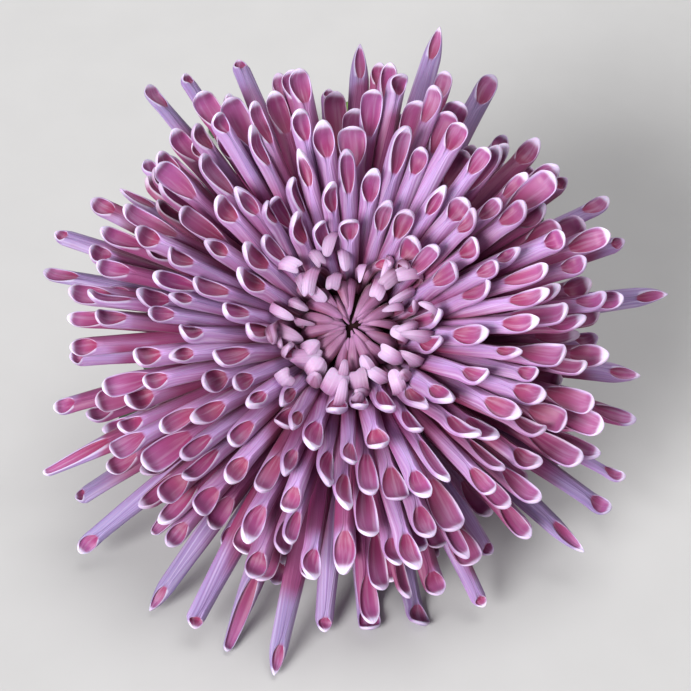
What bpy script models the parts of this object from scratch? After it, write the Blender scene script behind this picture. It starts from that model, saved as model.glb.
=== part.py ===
"""A spider chrysanthemum, cut with a short leafy stem and laid down with its face tilted up.

All sizes are in millimetres until the empty named flower_place scales the whole flower to
metres. The bloom is worked out in its own frame: X to the right and Y up as the face is
looked at, Z out of the face along the bloom's axis. The empty named bloom_pose lays that
frame down. The stem and the leaves are worked out with Z up and the surface at zero.
"""

import math
import random

import bmesh
import bpy
from mathutils import Matrix, Vector

MM = 0.001
GAP = 0.3  # clearance between pieces that touch

# How the flower lies: the angle of its face above the surface, and the place of its head
FACE_TILT = math.radians(55.0)
HEAD_HEIGHT = 36.2
HEAD_FORWARD = 27.4
HEAD_ASIDE = 0.9

# The receptacle that carries the petals
CORE_RADIUS = 12.0
CORE_TOP = 8.3
CORE_BOTTOM = -3.4

# The lattice of ray petals on the receptacle
PETALS = 238
GOLDEN_ANGLE = math.radians(137.50776)
ROOT_POLAR_INNER = math.radians(45.0)
ROOT_POLAR_OUTER = math.radians(100.0)
ROOT_DEPTH = 0.68
PETAL_BEND = math.radians(11.0)

# The ellipse that the petal tips stand on, seen from the side
DOME_REACH = 37.0
DOME_RISE = -6.0
DOME_HALF_WIDTH = 26.0
DOME_HALF_HEIGHT = 32.0
TIP_ANGLE_INNER = math.radians(-33.0)
TIP_ANGLE_OUTER = math.radians(92.0)
TIP_SCATTER = 2.6
RISE_SCATTER = 1.6

# A ray petal: a quill that widens to a spoon with a long mouth on its upper side
QUILL_WIDTH = 2.9
QUILL_HEIGHT = 2.3
SPOON_WIDTH = 4.5
MOUTH_LENGTH = 8.5
LONG_PETAL = 46.0
RESTING_HEIGHT = 0.9
RESTING_SOFTNESS = 0.8

# The rim petals that stand out past the others: clock angle in degrees, reach
RIM_PETALS = (
    (8, 70), (19, 63), (29, 66), (36, 58), (44, 55), (53, 57), (62, 67), (69, 61),
    (76, 71), (82, 59), (88, 65), (95, 56), (105, 60), (112, 67), (122, 68), (129, 72),
    (139, 61), (146, 62), (153, 63), (161, 68), (168, 69), (177, 61), (185, 60), (194, 66),
    (205, 72), (211, 69), (218, 75), (225, 60), (234, 73), (242, 71), (249, 72), (257, 74),
    (265, 64), (274, 64), (283, 65), (289, 59), (296, 65), (303, 56), (311, 58), (317, 68),
    (325, 67), (332, 66), (342, 64), (352, 63),
)
RIM_RISE = 7.0
BEHIND_RIM = 58.0
SPARE_RIM_PETALS = 12

# The heart: a low mound with rows of blunt knobs round florets that close over it
HEART_RADIUS = 7.6
HEART_HEIGHT = 5.5
HEART_CENTRE = 14.0
KNOB_ROWS = ((19, 13.9, 19.6, 12.4), (15, 10.6, 21.0, 14.4))  # count, reach, tip height, root height
KNOB_SECTIONS = (
    (0.0, 0.6, 0.0, 0.6, -0.6),
    (0.55, 1.15, 0.1, 1.0, -1.0),
    (0.86, 1.6, 0.3, 0.1, -1.2),
    (1.0, 1.0, 0.4, 0.5, -0.6),
)
INNER_FLORETS = 24
INNER_REACH = 6.2
INNER_ROOT = 3.0
INNER_TOP = 22.8
INNER_SECTIONS = (
    (0.0, 0.6, 0.0, 0.6, -0.6),
    (0.6, 0.85, 0.0, 0.75, -0.75),
    (1.0, 0.5, 0.0, 0.4, -0.4),
)

# The green cup of bracts behind the petals: its turned outline as (radius, height)
CUP_TOP = -3.7
CUP_BOTTOM = -15.0
CUP_OUTLINE = (
    (0.0, CUP_TOP), (11.0, CUP_TOP), (11.5, -5.2), (10.4, -9.4),
    (6.6, -13.4), (2.6, CUP_BOTTOM), (0.0, CUP_BOTTOM),
)
BRACT_ROWS = ((12, -4.3, -11.0), (12, -7.8, -13.6))  # count, top, bottom
BRACT_SECTIONS = (
    (0.0, 0.95, 0.0, 0.3, -0.5),
    (0.5, 2.1, 0.3, 0.4, -0.5),
    (1.0, 0.3, 0.0, 0.3, -0.35),
)

# The stem: a neck that bends down from the cup, then a straight run on the surface
STEM_RADIUS = 2.3
STEM_LIE = 2.2  # the height of its middle where one of its flats lies on the surface
STEM_END = 118.0
NECK_POINTS = 9

# The leaves: name, the four points that lead the midrib, the blade's half width
LEAVES = (
    ("leaf_1", ((-2.55, 36.0, 5.6), (-15.0, 34.0, 13.0), (-33.0, 22.0, 9.0), (-54.0, 0.0, 0.2)), 13.0),
    ("leaf_2", ((2.95, 62.0, 2.6), (13.0, 66.0, 11.0), (30.0, 74.0, 12.0), (50.0, 76.0, 0.2)), 12.0),
    ("leaf_3", ((-3.0, 88.0, 2.6), (-10.0, 93.0, 9.0), (-22.0, 104.0, 9.0), (-38.0, 112.0, 0.2)), 10.5),
)
LEAF_THICKNESS = 0.7
LEAF_FOLD = 0.16
LEAF_WAVE = 0.7
LEAF_STALK = ((0.0, 0.07), (0.10, 0.06), (0.20, 0.08))  # share along, half width as a share
LEAF_LOBES = ((0.26, 0.44, 0.70), (0.46, 0.63, 1.0), (0.66, 0.80, 0.86))  # start, end, width
LOBE_TEETH = ((0.0, 0.34, 0.0), (0.30, 0.78, 0.35), (0.58, 1.0, 0.45), (0.84, 0.66, 0.40))
LEAF_END = ((0.83, 0.30, 0.0), (0.88, 0.52, 0.3), (0.94, 0.34, 0.2), (1.0, 0.04, 0.0))


def polar_direction(polar, azimuth):
    """A unit vector at this angle from the bloom's axis and at this clock angle."""
    return Vector((
        math.sin(polar) * math.cos(azimuth),
        math.sin(polar) * math.sin(azimuth),
        math.cos(polar),
    ))


def turn_between(a, b):
    """The smaller angle between two clock angles."""
    return abs((a - b + math.pi) % (2.0 * math.pi) - math.pi)


def bezier(points, t):
    """The point at t on the cubic curve that these four points lead."""
    a, b, c, d = (Vector(point) for point in points)
    return (1 - t) ** 3 * a + 3 * t * (1 - t) ** 2 * b + 3 * t * t * (1 - t) * c + t ** 3 * d


def height_over_surface(point):
    """The height above the surface of a point in the bloom's frame."""
    return HEAD_HEIGHT + point.y * math.cos(FACE_TILT) + point.z * math.sin(FACE_TILT)


def lift_off_surface(point):
    """Pushes a middle point that would lie too low out along the bloom's axis, softly."""
    height = height_over_surface(point)
    over = (height - RESTING_HEIGHT) / RESTING_SOFTNESS
    softened = RESTING_SOFTNESS * (math.log1p(math.exp(-abs(over))) + max(over, 0.0))
    lifted = RESTING_HEIGHT + softened
    return point + Vector((0.0, 0.0, (lifted - height) / math.sin(FACE_TILT)))


def petal_plan():
    """Where each ray petal goes, from the heart outwards, with its own small chances."""
    petals = []
    inner = math.cos(ROOT_POLAR_INNER)
    outer = math.cos(ROOT_POLAR_OUTER)
    for index in range(PETALS):
        chance = random.Random(4100 + index)
        share = (index + 0.5) / PETALS
        angle = TIP_ANGLE_INNER + (TIP_ANGLE_OUTER - TIP_ANGLE_INNER) * share ** 0.9
        reach = DOME_REACH + DOME_HALF_WIDTH * math.sin(angle)
        rise = DOME_RISE + DOME_HALF_HEIGHT * math.cos(angle)
        petals.append({
            "root_polar": math.acos(inner + (outer - inner) * share),
            "azimuth": (index * GOLDEN_ANGLE) % (2.0 * math.pi),
            "reach": reach + chance.uniform(-TIP_SCATTER, TIP_SCATTER),
            "rise": rise + chance.uniform(-RISE_SCATTER, RISE_SCATTER),
            "sway": math.radians(chance.uniform(-1.6, 1.6)),
            "roll": math.radians(chance.gauss(0.0, 12.0)),
            "mouth": chance.uniform(0.7, 1.25),
            "spoon": chance.uniform(0.85, 1.15),
        })
    claim_rim_petals(petals)
    return petals


def claim_rim_petals(petals):
    """Moves the nearest outer petals to the rim's own list, and keeps the rest behind it."""
    free = petals[-len(RIM_PETALS) - SPARE_RIM_PETALS:]
    for angle, reach in RIM_PETALS:
        azimuth = math.radians(angle)
        nearest = min(free, key=lambda petal: turn_between(petal["azimuth"], azimuth))
        free.remove(nearest)
        nearest["azimuth"] = azimuth
        nearest["sway"] = 0.0
        nearest["reach"] = float(reach)
        nearest["rise"] = min(nearest["rise"], RIM_RISE)
    for petal in free:
        petal["reach"] = min(petal["reach"], BEHIND_RIM)


class MiddleLine:
    """The middle line of a petal, floret or bract, by the length along it."""

    def __init__(self, leads, azimuth, roll=0.0, lies=False, steps=20):
        self.sideways = Vector((-math.sin(azimuth), math.cos(azimuth), 0.0))
        self.roll = roll
        self.lies = lies
        self.points = [bezier(leads, step / steps) for step in range(steps + 1)]
        if lies:
            self.points = [lift_off_surface(point) for point in self.points]
        self.lengths = [0.0]
        for before, after in zip(self.points, self.points[1:]):
            self.lengths.append(self.lengths[-1] + (after - before).length)
        self.length = self.lengths[-1]

    def place(self, along, across, up):
        """The point this far along, this far to the side and this far to the upper side."""
        last = len(self.lengths) - 2
        step = 0
        while step < last and self.lengths[step + 1] < along:
            step += 1
        span = self.lengths[step + 1] - self.lengths[step]
        share = (along - self.lengths[step]) / span
        middle = self.points[step].lerp(self.points[step + 1], share)
        before = self.points[max(step - 1, 0)]
        after = self.points[min(step + 2, last + 1)]
        tangent = (after - before).normalized()
        upper = tangent.cross(self.sideways).normalized()
        upper = Matrix.Rotation(self.roll, 3, tangent) @ upper
        point = middle + across * upper.cross(tangent) + up * upper
        if self.lies:
            sunk = max(-height_over_surface(point), 0.0)
            point.z += sunk / math.sin(FACE_TILT)
        return point


def petal_line(petal):
    """A ray petal's middle line: steep out of the receptacle, then leaning outwards."""
    azimuth = petal["azimuth"]
    tip_azimuth = azimuth + petal["sway"]
    root = ROOT_DEPTH * CORE_RADIUS * polar_direction(petal["root_polar"], azimuth)
    tip = Vector((
        petal["reach"] * math.cos(tip_azimuth),
        petal["reach"] * math.sin(tip_azimuth),
        petal["rise"],
    ))
    chord = tip - root
    slope = math.atan2(math.hypot(chord.x, chord.y), chord.z)
    third = chord.length / 3.0
    first = root + third * polar_direction(slope - PETAL_BEND, azimuth)
    second = tip - third * polar_direction(slope + PETAL_BEND, tip_azimuth)
    return MiddleLine((root, first, second, tip), azimuth, petal["roll"], lies=True)


def petal_sections(petal, length):
    """The petal's sections: along, half width, then the heights of sides, top and bottom.

    In the mouth the top falls below the sides, and it comes up again at the rounded end.
    """
    mouth = min(MOUTH_LENGTH * petal["mouth"], 0.42 * length)
    spoon = 0.5 * SPOON_WIDTH * petal["spoon"]
    half = 0.5 * QUILL_WIDTH
    high = 0.5 * QUILL_HEIGHT
    sections = [(0.0, 0.42 * half, 0.0, 0.5 * high, -0.5 * high)]
    if length > LONG_PETAL:
        sections.append((0.42 * length, 0.92 * half, 0.0, high, -high))
    sections += [
        (length - mouth, half, 0.1 * high, high, -high),
        (length - 0.4 * mouth, spoon, 0.7 * high, -0.25 * high, -1.1 * high),
        (length, 0.5 * spoon, 1.15 * high, 0.95 * high, -0.1 * high),
    ]
    return sections


def tube_through(name, sections, place):
    """A closed four-sided tube pulled through these sections, one extrusion at a time."""
    form = bmesh.new()
    bmesh.ops.create_circle(form, cap_ends=True, segments=4, radius=1.0)
    end = form.faces[:][0]
    for number, (along, half, side, top, bottom) in enumerate(sections):
        if number:
            end = bmesh.ops.extrude_discrete_faces(form, faces=[end])["faces"][0]
        corners = ((half, side), (0.0, top), (-half, side), (0.0, bottom))
        for vert, (across, up) in zip(end.verts, corners):
            vert.co = place(along, across, up)
    close_holes(form)
    bmesh.ops.recalc_face_normals(form, faces=form.faces)
    return object_from(form, name)


def tube_by_shares(name, sections, line):
    """As tube_through, with the sections placed by their share of the line's length."""
    scaled = [(share * line.length, *rest) for share, *rest in sections]
    return tube_through(name, scaled, line.place)


def close_holes(form):
    open_edges = [edge for edge in form.edges if edge.is_boundary]
    bmesh.ops.holes_fill(form, edges=open_edges)


def object_from(form, name):
    """An object with this working mesh, which is freed."""
    mesh = bpy.data.meshes.new(name)
    form.to_mesh(mesh)
    form.free()
    return bpy.data.objects.new(name, mesh)


def ball(name, radius, above, below, squash=1.0, centre=0.0):
    """A ball, squashed along the axis and cut level, kept between two heights."""
    form = bmesh.new()
    bmesh.ops.create_uvsphere(form, u_segments=16, v_segments=8, radius=radius)
    bmesh.ops.scale(form, vec=(1.0, 1.0, squash), verts=form.verts)
    bmesh.ops.translate(form, vec=(0.0, 0.0, centre), verts=form.verts)
    for height, outwards in ((above, -1.0), (below, 1.0)):
        bmesh.ops.bisect_plane(
            form,
            geom=form.verts[:] + form.edges[:] + form.faces[:],
            plane_co=(0.0, 0.0, height),
            plane_no=(0.0, 0.0, outwards),
            clear_outer=True,
        )
        close_holes(form)
    return object_from(form, name)


def turned(name, outline, steps=16):
    """A closed solid turned from a profile of (radius, height) that ends on the axis."""
    form = bmesh.new()
    verts = [form.verts.new((radius, 0.0, height)) for radius, height in outline]
    edges = [form.edges.new(pair) for pair in zip(verts, verts[1:])]
    bmesh.ops.spin(
        form,
        geom=verts + edges,
        cent=(0.0, 0.0, 0.0),
        axis=(0.0, 0.0, 1.0),
        angle=2.0 * math.pi,
        steps=steps,
        use_merge=True,
    )
    bmesh.ops.remove_doubles(form, verts=form.verts, dist=0.01)
    bmesh.ops.recalc_face_normals(form, faces=form.faces)
    return object_from(form, name)


def join_to_core(core, pieces):
    """Unites the pieces with the core in one Boolean, and removes them."""
    crowd = bpy.data.collections.new("pieces to join")
    bpy.context.scene.collection.children.link(crowd)
    for piece in pieces:
        crowd.objects.link(piece)
    union = core.modifiers.new("union", "BOOLEAN")
    union.operation = "UNION"
    union.operand_type = "COLLECTION"
    union.collection = crowd
    bpy.context.view_layer.update()
    graph = bpy.context.evaluated_depsgraph_get()
    joined = bpy.data.meshes.new_from_object(core.evaluated_get(graph))
    core.modifiers.clear()
    core.data = joined
    for piece in pieces:
        bpy.data.objects.remove(piece, do_unlink=True)
    bpy.data.collections.remove(crowd)


def make_ray_petals():
    core = ball("ray_petals", CORE_RADIUS, CORE_BOTTOM, CORE_TOP)
    bpy.context.scene.collection.objects.link(core)
    pieces = []
    for number, petal in enumerate(petal_plan()):
        line = petal_line(petal)
        sections = petal_sections(petal, line.length)
        pieces.append(tube_through(f"petal {number}", sections, line.place))
    join_to_core(core, pieces)
    return core


def knob_lines():
    """The middle lines of the blunt knobs, which stand out and curl back over the heart."""
    lines = []
    for row, (count, reach, height, foot) in enumerate(KNOB_ROWS):
        for number in range(count):
            chance = random.Random(5200 + 100 * row + number)
            azimuth = 2.0 * math.pi * (number + 0.5 * row + chance.uniform(-0.12, 0.12)) / count
            out = reach + chance.uniform(-0.6, 0.6)
            top = height + chance.uniform(-0.6, 0.6)
            profile = ((4.0, foot), (out - 4.2, foot + 1.3), (out + 1.2, top - 3.0), (out - 0.6, top))
            lines.append(MiddleLine(in_plane(profile, azimuth), azimuth))
    return lines


def inner_floret_lines():
    """The middle lines of the slim florets that stand up and close over the centre."""
    lines = []
    for number in range(INNER_FLORETS):
        chance = random.Random(5700 + number)
        share = (number + 0.5) / INNER_FLORETS
        azimuth = number * GOLDEN_ANGLE
        out = INNER_ROOT + INNER_REACH * share ** 0.5
        lean = chance.uniform(0.45, 0.75)
        top = INNER_TOP - 1.6 * share
        profile = ((0.8 * out, top - 8.0), (out, top - 4.6), (out, top - 1.2), (out * lean, top))
        lines.append(MiddleLine(in_plane(profile, azimuth), azimuth))
    return lines


def in_plane(profile, azimuth):
    """Points given as (radius, height), set at this clock angle."""
    return [
        Vector((radius * math.cos(azimuth), radius * math.sin(azimuth), height))
        for radius, height in profile
    ]


def make_heart():
    core = ball(
        "heart_florets",
        HEART_RADIUS,
        CORE_TOP + GAP,
        HEART_CENTRE + HEART_HEIGHT + 1.0,
        squash=HEART_HEIGHT / HEART_RADIUS,
        centre=HEART_CENTRE,
    )
    bpy.context.scene.collection.objects.link(core)
    pieces = [tube_by_shares("knob", KNOB_SECTIONS, line) for line in knob_lines()]
    pieces += [tube_by_shares("floret", INNER_SECTIONS, line) for line in inner_floret_lines()]
    join_to_core(core, pieces)
    return core


def cup_radius(height):
    """The cup's outer radius at this height."""
    sides = CUP_OUTLINE[1:-1]
    for (wide, high), (narrow, low) in zip(sides, sides[1:]):
        if low <= height <= high:
            return narrow + (wide - narrow) * (height - low) / (high - low)
    return sides[-1][0]


def make_involucre():
    cup = turned("involucre", CUP_OUTLINE)
    bpy.context.scene.collection.objects.link(cup)
    bracts = []
    for row, (count, top, bottom) in enumerate(BRACT_ROWS):
        bulge = cup_radius(0.5 * (top + bottom))
        profile = (
            (cup_radius(bottom) - 0.9, bottom),
            (bulge + 0.3, bottom + 0.35 * (top - bottom)),
            (bulge + 1.2, bottom + 0.65 * (top - bottom)),
            (cup_radius(top) + 0.2, top),
        )
        for number in range(count):
            azimuth = 2.0 * math.pi * (number + 0.5 * row) / count
            line = MiddleLine(in_plane(profile, azimuth), azimuth)
            bracts.append(tube_by_shares("bract", BRACT_SECTIONS, line))
    join_to_core(cup, bracts)
    return cup


def stem_route():
    """Points along the stem's middle: down from the cup on an arc, then flat on the surface."""
    backwards = Vector((0.0, math.cos(FACE_TILT), -math.sin(FACE_TILT)))
    start = Vector((0.0, 0.0, HEAD_HEIGHT)) + (1.4 * GAP - CUP_BOTTOM) * backwards
    bend = (start.z - STEM_LIE) / (1.0 - math.cos(FACE_TILT))
    foot = start.y + bend * math.sin(FACE_TILT)
    route = []
    for number in range(NECK_POINTS + 1):
        angle = FACE_TILT * (1.0 - number / NECK_POINTS)
        height = STEM_LIE + bend * (1.0 - math.cos(angle))
        route.append(Vector((0.0, foot - bend * math.sin(angle), height)))
    for share in (0.33, 0.66, 1.0):
        route.append(Vector((0.0, foot + share * (STEM_END - foot), STEM_LIE)))
    return route


def make_stem():
    curve = bpy.data.curves.new("stem", "CURVE")
    curve.dimensions = "3D"
    curve.bevel_depth = STEM_RADIUS
    curve.bevel_resolution = 3
    curve.use_fill_caps = True
    route = stem_route()
    spline = curve.splines.new("POLY")
    spline.points.add(len(route) - 1)
    for point, place in zip(spline.points, route):
        point.co = (*place, 1.0)
    return bpy.data.objects.new("stem", curve)


def leaf_stations():
    """A leaf's sections: share along, half width as a share, how far its edge leans forward."""
    stations = [(share, wide, 0.0) for share, wide in LEAF_STALK]
    for start, end, wide in LEAF_LOBES:
        for share, tooth, lean in LOBE_TEETH:
            stations.append((start + share * (end - start), tooth * wide, lean))
    return stations + list(LEAF_END)


def make_leaf(name, midrib, half_width):
    """A lobed leaf on its stalk: an open grid along the midrib, given its thickness."""
    form = bmesh.new()
    rows = []
    for number, (share, wide, lean) in enumerate(leaf_stations()):
        ahead = bezier(midrib, min(share + 0.02, 1.0)) - bezier(midrib, max(share - 0.02, 0.0))
        ahead.normalize()
        sideways = ahead.cross(Vector((0.0, 0.0, 1.0))).normalized()
        upper = sideways.cross(ahead)
        row = []
        for part in (-1.0, -0.5, 0.0, 0.5, 1.0):
            across = part * wide * half_width
            fold = LEAF_FOLD * abs(across) * (1.0 - abs(across) / half_width)
            wave = LEAF_WAVE * abs(part) * wide * math.sin(2.6 * number)
            forward = abs(across) * lean
            point = bezier(midrib, share) + across * sideways + forward * ahead + (fold + wave) * upper
            point.z = max(point.z, 0.5 * LEAF_THICKNESS + 0.02)
            row.append(form.verts.new(point))
        rows.append(row)
    for before, after in zip(rows, rows[1:]):
        for k in range(len(before) - 1):
            form.faces.new((before[k], before[k + 1], after[k + 1], after[k]))
    bmesh.ops.triangulate(form, faces=form.faces)
    bmesh.ops.recalc_face_normals(form, faces=form.faces)
    leaf = object_from(form, name)
    wall = leaf.modifiers.new("thickness", "SOLIDIFY")
    wall.thickness = LEAF_THICKNESS
    wall.offset = 0.0
    return leaf


def finish(name, colour, roughness):
    """A plain material of one colour."""
    material = bpy.data.materials.new(name)
    material.use_nodes = True
    shader = material.node_tree.nodes["Principled BSDF"]
    shader.inputs["Base Color"].default_value = (*colour, 1.0)
    shader.inputs["Roughness"].default_value = roughness
    shader.inputs["Metallic"].default_value = 0.0
    return material


def empty(name, collection, parent=None):
    obj = bpy.data.objects.new(name, None)
    collection.objects.link(obj)
    obj.parent = parent
    return obj


def place_piece(piece, collection, parent, material):
    """Gives a finished piece its collection, its parent and its one material."""
    for home in list(piece.users_collection):
        home.objects.unlink(piece)
    collection.objects.link(piece)
    piece.parent = parent
    piece.data.materials.clear()
    piece.data.materials.append(material)


def main():
    for obj in list(bpy.data.objects):
        bpy.data.objects.remove(obj, do_unlink=True)
    flower = bpy.data.collections.new("spider chrysanthemum")
    bpy.context.scene.collection.children.link(flower)
    place = empty("flower_place", flower)
    place.location = (-HEAD_ASIDE * MM, -HEAD_FORWARD * MM, 0.0)
    place.scale = (MM, MM, MM)
    pose = empty("bloom_pose", flower, place)
    pose.location = (0.0, 0.0, HEAD_HEIGHT)
    pose.rotation_euler = (0.5 * math.pi - FACE_TILT, 0.0, 0.0)
    place_piece(make_ray_petals(), flower, pose, finish("petal lilac", (0.42, 0.19, 0.40), 0.55))
    place_piece(make_heart(), flower, pose, finish("heart lilac", (0.56, 0.36, 0.62), 0.55))
    place_piece(make_involucre(), flower, pose, finish("bract green", (0.10, 0.19, 0.05), 0.6))
    place_piece(make_stem(), flower, place, finish("stem green", (0.12, 0.21, 0.06), 0.6))
    leaf_green = finish("leaf green", (0.05, 0.13, 0.04), 0.5)
    for name, midrib, half_width in LEAVES:
        place_piece(make_leaf(name, midrib, half_width), flower, place, leaf_green)


main()
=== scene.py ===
"""The looks of a cut spider chrysanthemum that lies on its leafy stem with its face tilted up.

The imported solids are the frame. Finer pieces stand in for each of them, in the same place: quilled
petals with hollow mouths, the heart of claws and fingers, the cup of bracts, the ribbed stem and the
veined leaves. Shapes are worked out in millimetres and laid into the frame in metres. The bloom has
a frame of its own: X to the right and Y up as the face is looked at, Z out of the face.
"""

import math
import random

import bpy
import numpy as np
from bpy.props import FloatProperty, FloatVectorProperty, IntProperty, PointerProperty
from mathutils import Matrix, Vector


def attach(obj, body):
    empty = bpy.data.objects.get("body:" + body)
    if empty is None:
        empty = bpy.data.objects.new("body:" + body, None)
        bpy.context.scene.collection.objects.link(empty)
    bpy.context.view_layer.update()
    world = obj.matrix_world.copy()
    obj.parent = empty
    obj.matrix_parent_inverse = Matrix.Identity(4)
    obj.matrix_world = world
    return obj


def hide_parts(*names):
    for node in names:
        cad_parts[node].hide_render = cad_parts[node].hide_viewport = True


bl_info = {
    "name": "Spider chrysanthemum",
    "version": (1, 0, 0),
    "blender": (4, 5, 0),
    "location": "3D View > Sidebar > Flower",
    "description": "Models and lights a cut spider chrysanthemum round its packed frame",
    "category": "Add Mesh",
}

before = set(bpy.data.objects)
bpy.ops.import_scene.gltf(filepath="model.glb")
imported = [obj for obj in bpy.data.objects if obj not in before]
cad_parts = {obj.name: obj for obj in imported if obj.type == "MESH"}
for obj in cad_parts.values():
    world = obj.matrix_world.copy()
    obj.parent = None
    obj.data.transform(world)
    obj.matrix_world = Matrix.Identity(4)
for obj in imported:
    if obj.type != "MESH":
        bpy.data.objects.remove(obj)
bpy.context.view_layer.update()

MM = 0.001
FULL_TURN = 2.0 * math.pi
GOLDEN_ANGLE = math.radians(137.50776)
TINY = 1e-6

# Seeds of the chances: each petal, claw and finger has its own, and a row starts a hundred further on
LATTICE_SEED = 4100
CLAW_SEED = 5200
FINGER_SEED = 5700
KIND_SEED = 6300
HAIR_SEED = 7700
EXTRA_SEED = 8100
ROW_SEEDS = 100

# How the flower lies: the angle of its face above the surface, and the place of its head
FACE_TILT = math.radians(55.0)
HEAD_HEIGHT = 36.2
HEAD_FORWARD = 27.4
HEAD_ASIDE = 0.9

# The receptacle that carries the petals
CORE_RADIUS = 12.0
CORE_TOP = 8.3
CORE_BOTTOM = -3.4

# The lattice of ray petals on the receptacle
PETALS = 238
ROOT_POLAR_INNER = math.radians(45.0)
ROOT_POLAR_OUTER = math.radians(100.0)
ROOT_DEPTH = 0.68
PETAL_BEND = math.radians(11.0)
TIP_BEND = math.radians(24.0)
SHOULDER_SHIFT = 0.6  # of the shift of its tip, where a petal leans over
MIDDLE_WHORL = 0.34  # the share of the lattice where this whorl starts
OUTER_WHORL = 0.7

# How one petal differs from the next: how far it turns aside and rolls, in degrees, what its mouth's
# length and its spoon's width are multiplied by, and how far its tip curls up
TIP_SWAY = 1.6
ROLL_SCATTER = 14.0
MOUTH_LENGTHS = (0.7, 1.25)
SPOON_WIDTHS = (0.85, 1.15)
TIP_CURL = 3.4

# The petals of the rim are wider and flatter, taper to their tips, and are bluer and darker:
# partly their own colour, partly painted shade where the light falls off at the rim
RIM_WIDTH = 1.46
RIM_FLATNESS = 0.70
RIM_TAPER = 0.30
TAPER_START = 0.45
RIM_COLOUR_AND_SHADE_REACH = (56.0, 70.0)

# The ellipse that the petal tips stand on, seen from the side
DOME_REACH = 37.0
DOME_RISE = -6.0
DOME_HALF_WIDTH = 26.0
DOME_HALF_HEIGHT = 32.0
TIP_ANGLE_INNER = math.radians(-33.0)
TIP_ANGLE_OUTER = math.radians(92.0)
TIP_SPACING = 0.9  # the power of the share: less than one draws the tips outwards
TIP_SCATTER = 2.6
RISE_SCATTER = 1.6
RESTING_HEIGHT = 0.9
RESTING_SOFTNESS = 0.8

# The rim petals that stand out past the others: clock angle in degrees, reach
RIM_PETALS = (
    (8, 70), (19, 63), (29, 66), (36, 58), (44, 55), (53, 57), (62, 67), (69, 61),
    (74, 73), (82, 59), (88, 65), (95, 56), (105, 60), (112, 67), (122, 68), (129, 72),
    (139, 61), (146, 62), (153, 63), (161, 68), (168, 69), (177, 61), (185, 60), (194, 66),
    (205, 72), (211, 69), (218, 75), (225, 60), (234, 73), (242, 71), (249, 72), (257, 74),
    (265, 64), (274, 64), (283, 65), (289, 59), (296, 65), (303, 56), (311, 58), (317, 68),
    (325, 67), (332, 66), (342, 64), (352, 63),
)
RIM_RISE = 7.0
BEHIND_RIM = 58.0
SPARE_RIM_PETALS = 12

# The ways a quill ends: length of its mouth, width and gape of its spoon, height of its lip, the
# share of the mouth that is open, and how much it narrows to a point
PETAL_KINDS = {
    "teardrop": {"mouth": 9.0, "spread": 1.02, "gape": 119.0, "lip": 1.2, "open": 0.76, "point": 0.0},
    "broad": {"mouth": 11.5, "spread": 1.28, "gape": 106.0, "lip": 1.0, "open": 0.83, "point": 0.0},
    "small": {"mouth": 6.2, "spread": 1.00, "gape": 128.0, "lip": 1.3, "open": 0.68, "point": 0.0},
    "slit": {"mouth": 10.0, "spread": 0.98, "gape": 138.0, "lip": 1.1, "open": 0.74, "point": 0.1},
    "hood": {"mouth": 8.0, "spread": 1.04, "gape": 118.0, "lip": 1.6, "open": 0.60, "point": 0.0},
    "closed": {"mouth": 7.5, "spread": 0.94, "gape": 147.0, "lip": 0.9, "open": 0.50, "point": 0.3},
    "claw": {"mouth": 4.6, "spread": 1.0, "gape": 122.0, "lip": 1.3, "open": 0.54, "point": 0.0},
    "finger": {"mouth": 2.8, "spread": 0.88, "gape": 140.0, "lip": 0.7, "open": 0.48, "point": 0.25},
    "pointed": {"mouth": 9.0, "spread": 0.90, "gape": 144.0, "lip": 0.3, "open": 0.70, "point": 0.7},
    "split": {"mouth": 15.0, "spread": 0.92, "gape": 126.0, "lip": 0.3, "open": 0.92, "point": 0.5},
}
WHORL_KINDS = (
    # the share of the lattice where the whorl starts, and the weights of its kinds
    (0.0, {"teardrop": 3, "hood": 6, "small": 4, "slit": 3, "closed": 4}),
    (0.3, {"teardrop": 7, "broad": 4, "hood": 4, "slit": 2, "small": 4}),
    (0.68, {"teardrop": 6, "broad": 3, "small": 5, "slit": 3, "hood": 3}),
)
RIM_KINDS = {"finger": 7, "pointed": 2, "split": 2, "small": 4, "slit": 2, "teardrop": 3}

# Where the petals part: clock angle in degrees, and how far the petals there draw back
PARTINGS = (
    (29, 7.0), (55, 8.0), (75, 4.0), (94, 8.0), (150, 3.0),
    (187, 4.0), (265, 6.0), (304, 6.0), (355, 9.0),
)
PARTING_TURN = math.radians(3.2)
PARTING_WIDTH = math.radians(7.0)
PARTING_START = 0.35
PARTING_FULL = 0.8

# The side that the mouths turn to, as a clock angle, and how far they turn
MOUTHS_FACE = math.radians(50.0)
MOUTH_TURN = math.radians(26.0)

# The petals added between the others: the share of the lattice where they start, the share that
# they fill, and how far they reach at most before they stray
EXTRA_START = 0.5
EXTRA_SPAN = 0.48
EXTRA_REACH = BEHIND_RIM - 5.0

# How far a tip that isn't at the rim strays past the scatter of the lattice, in reach and aside
EXTRA_SCATTER = 3.4
EXTRA_SWAY = math.radians(4.4)

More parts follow.
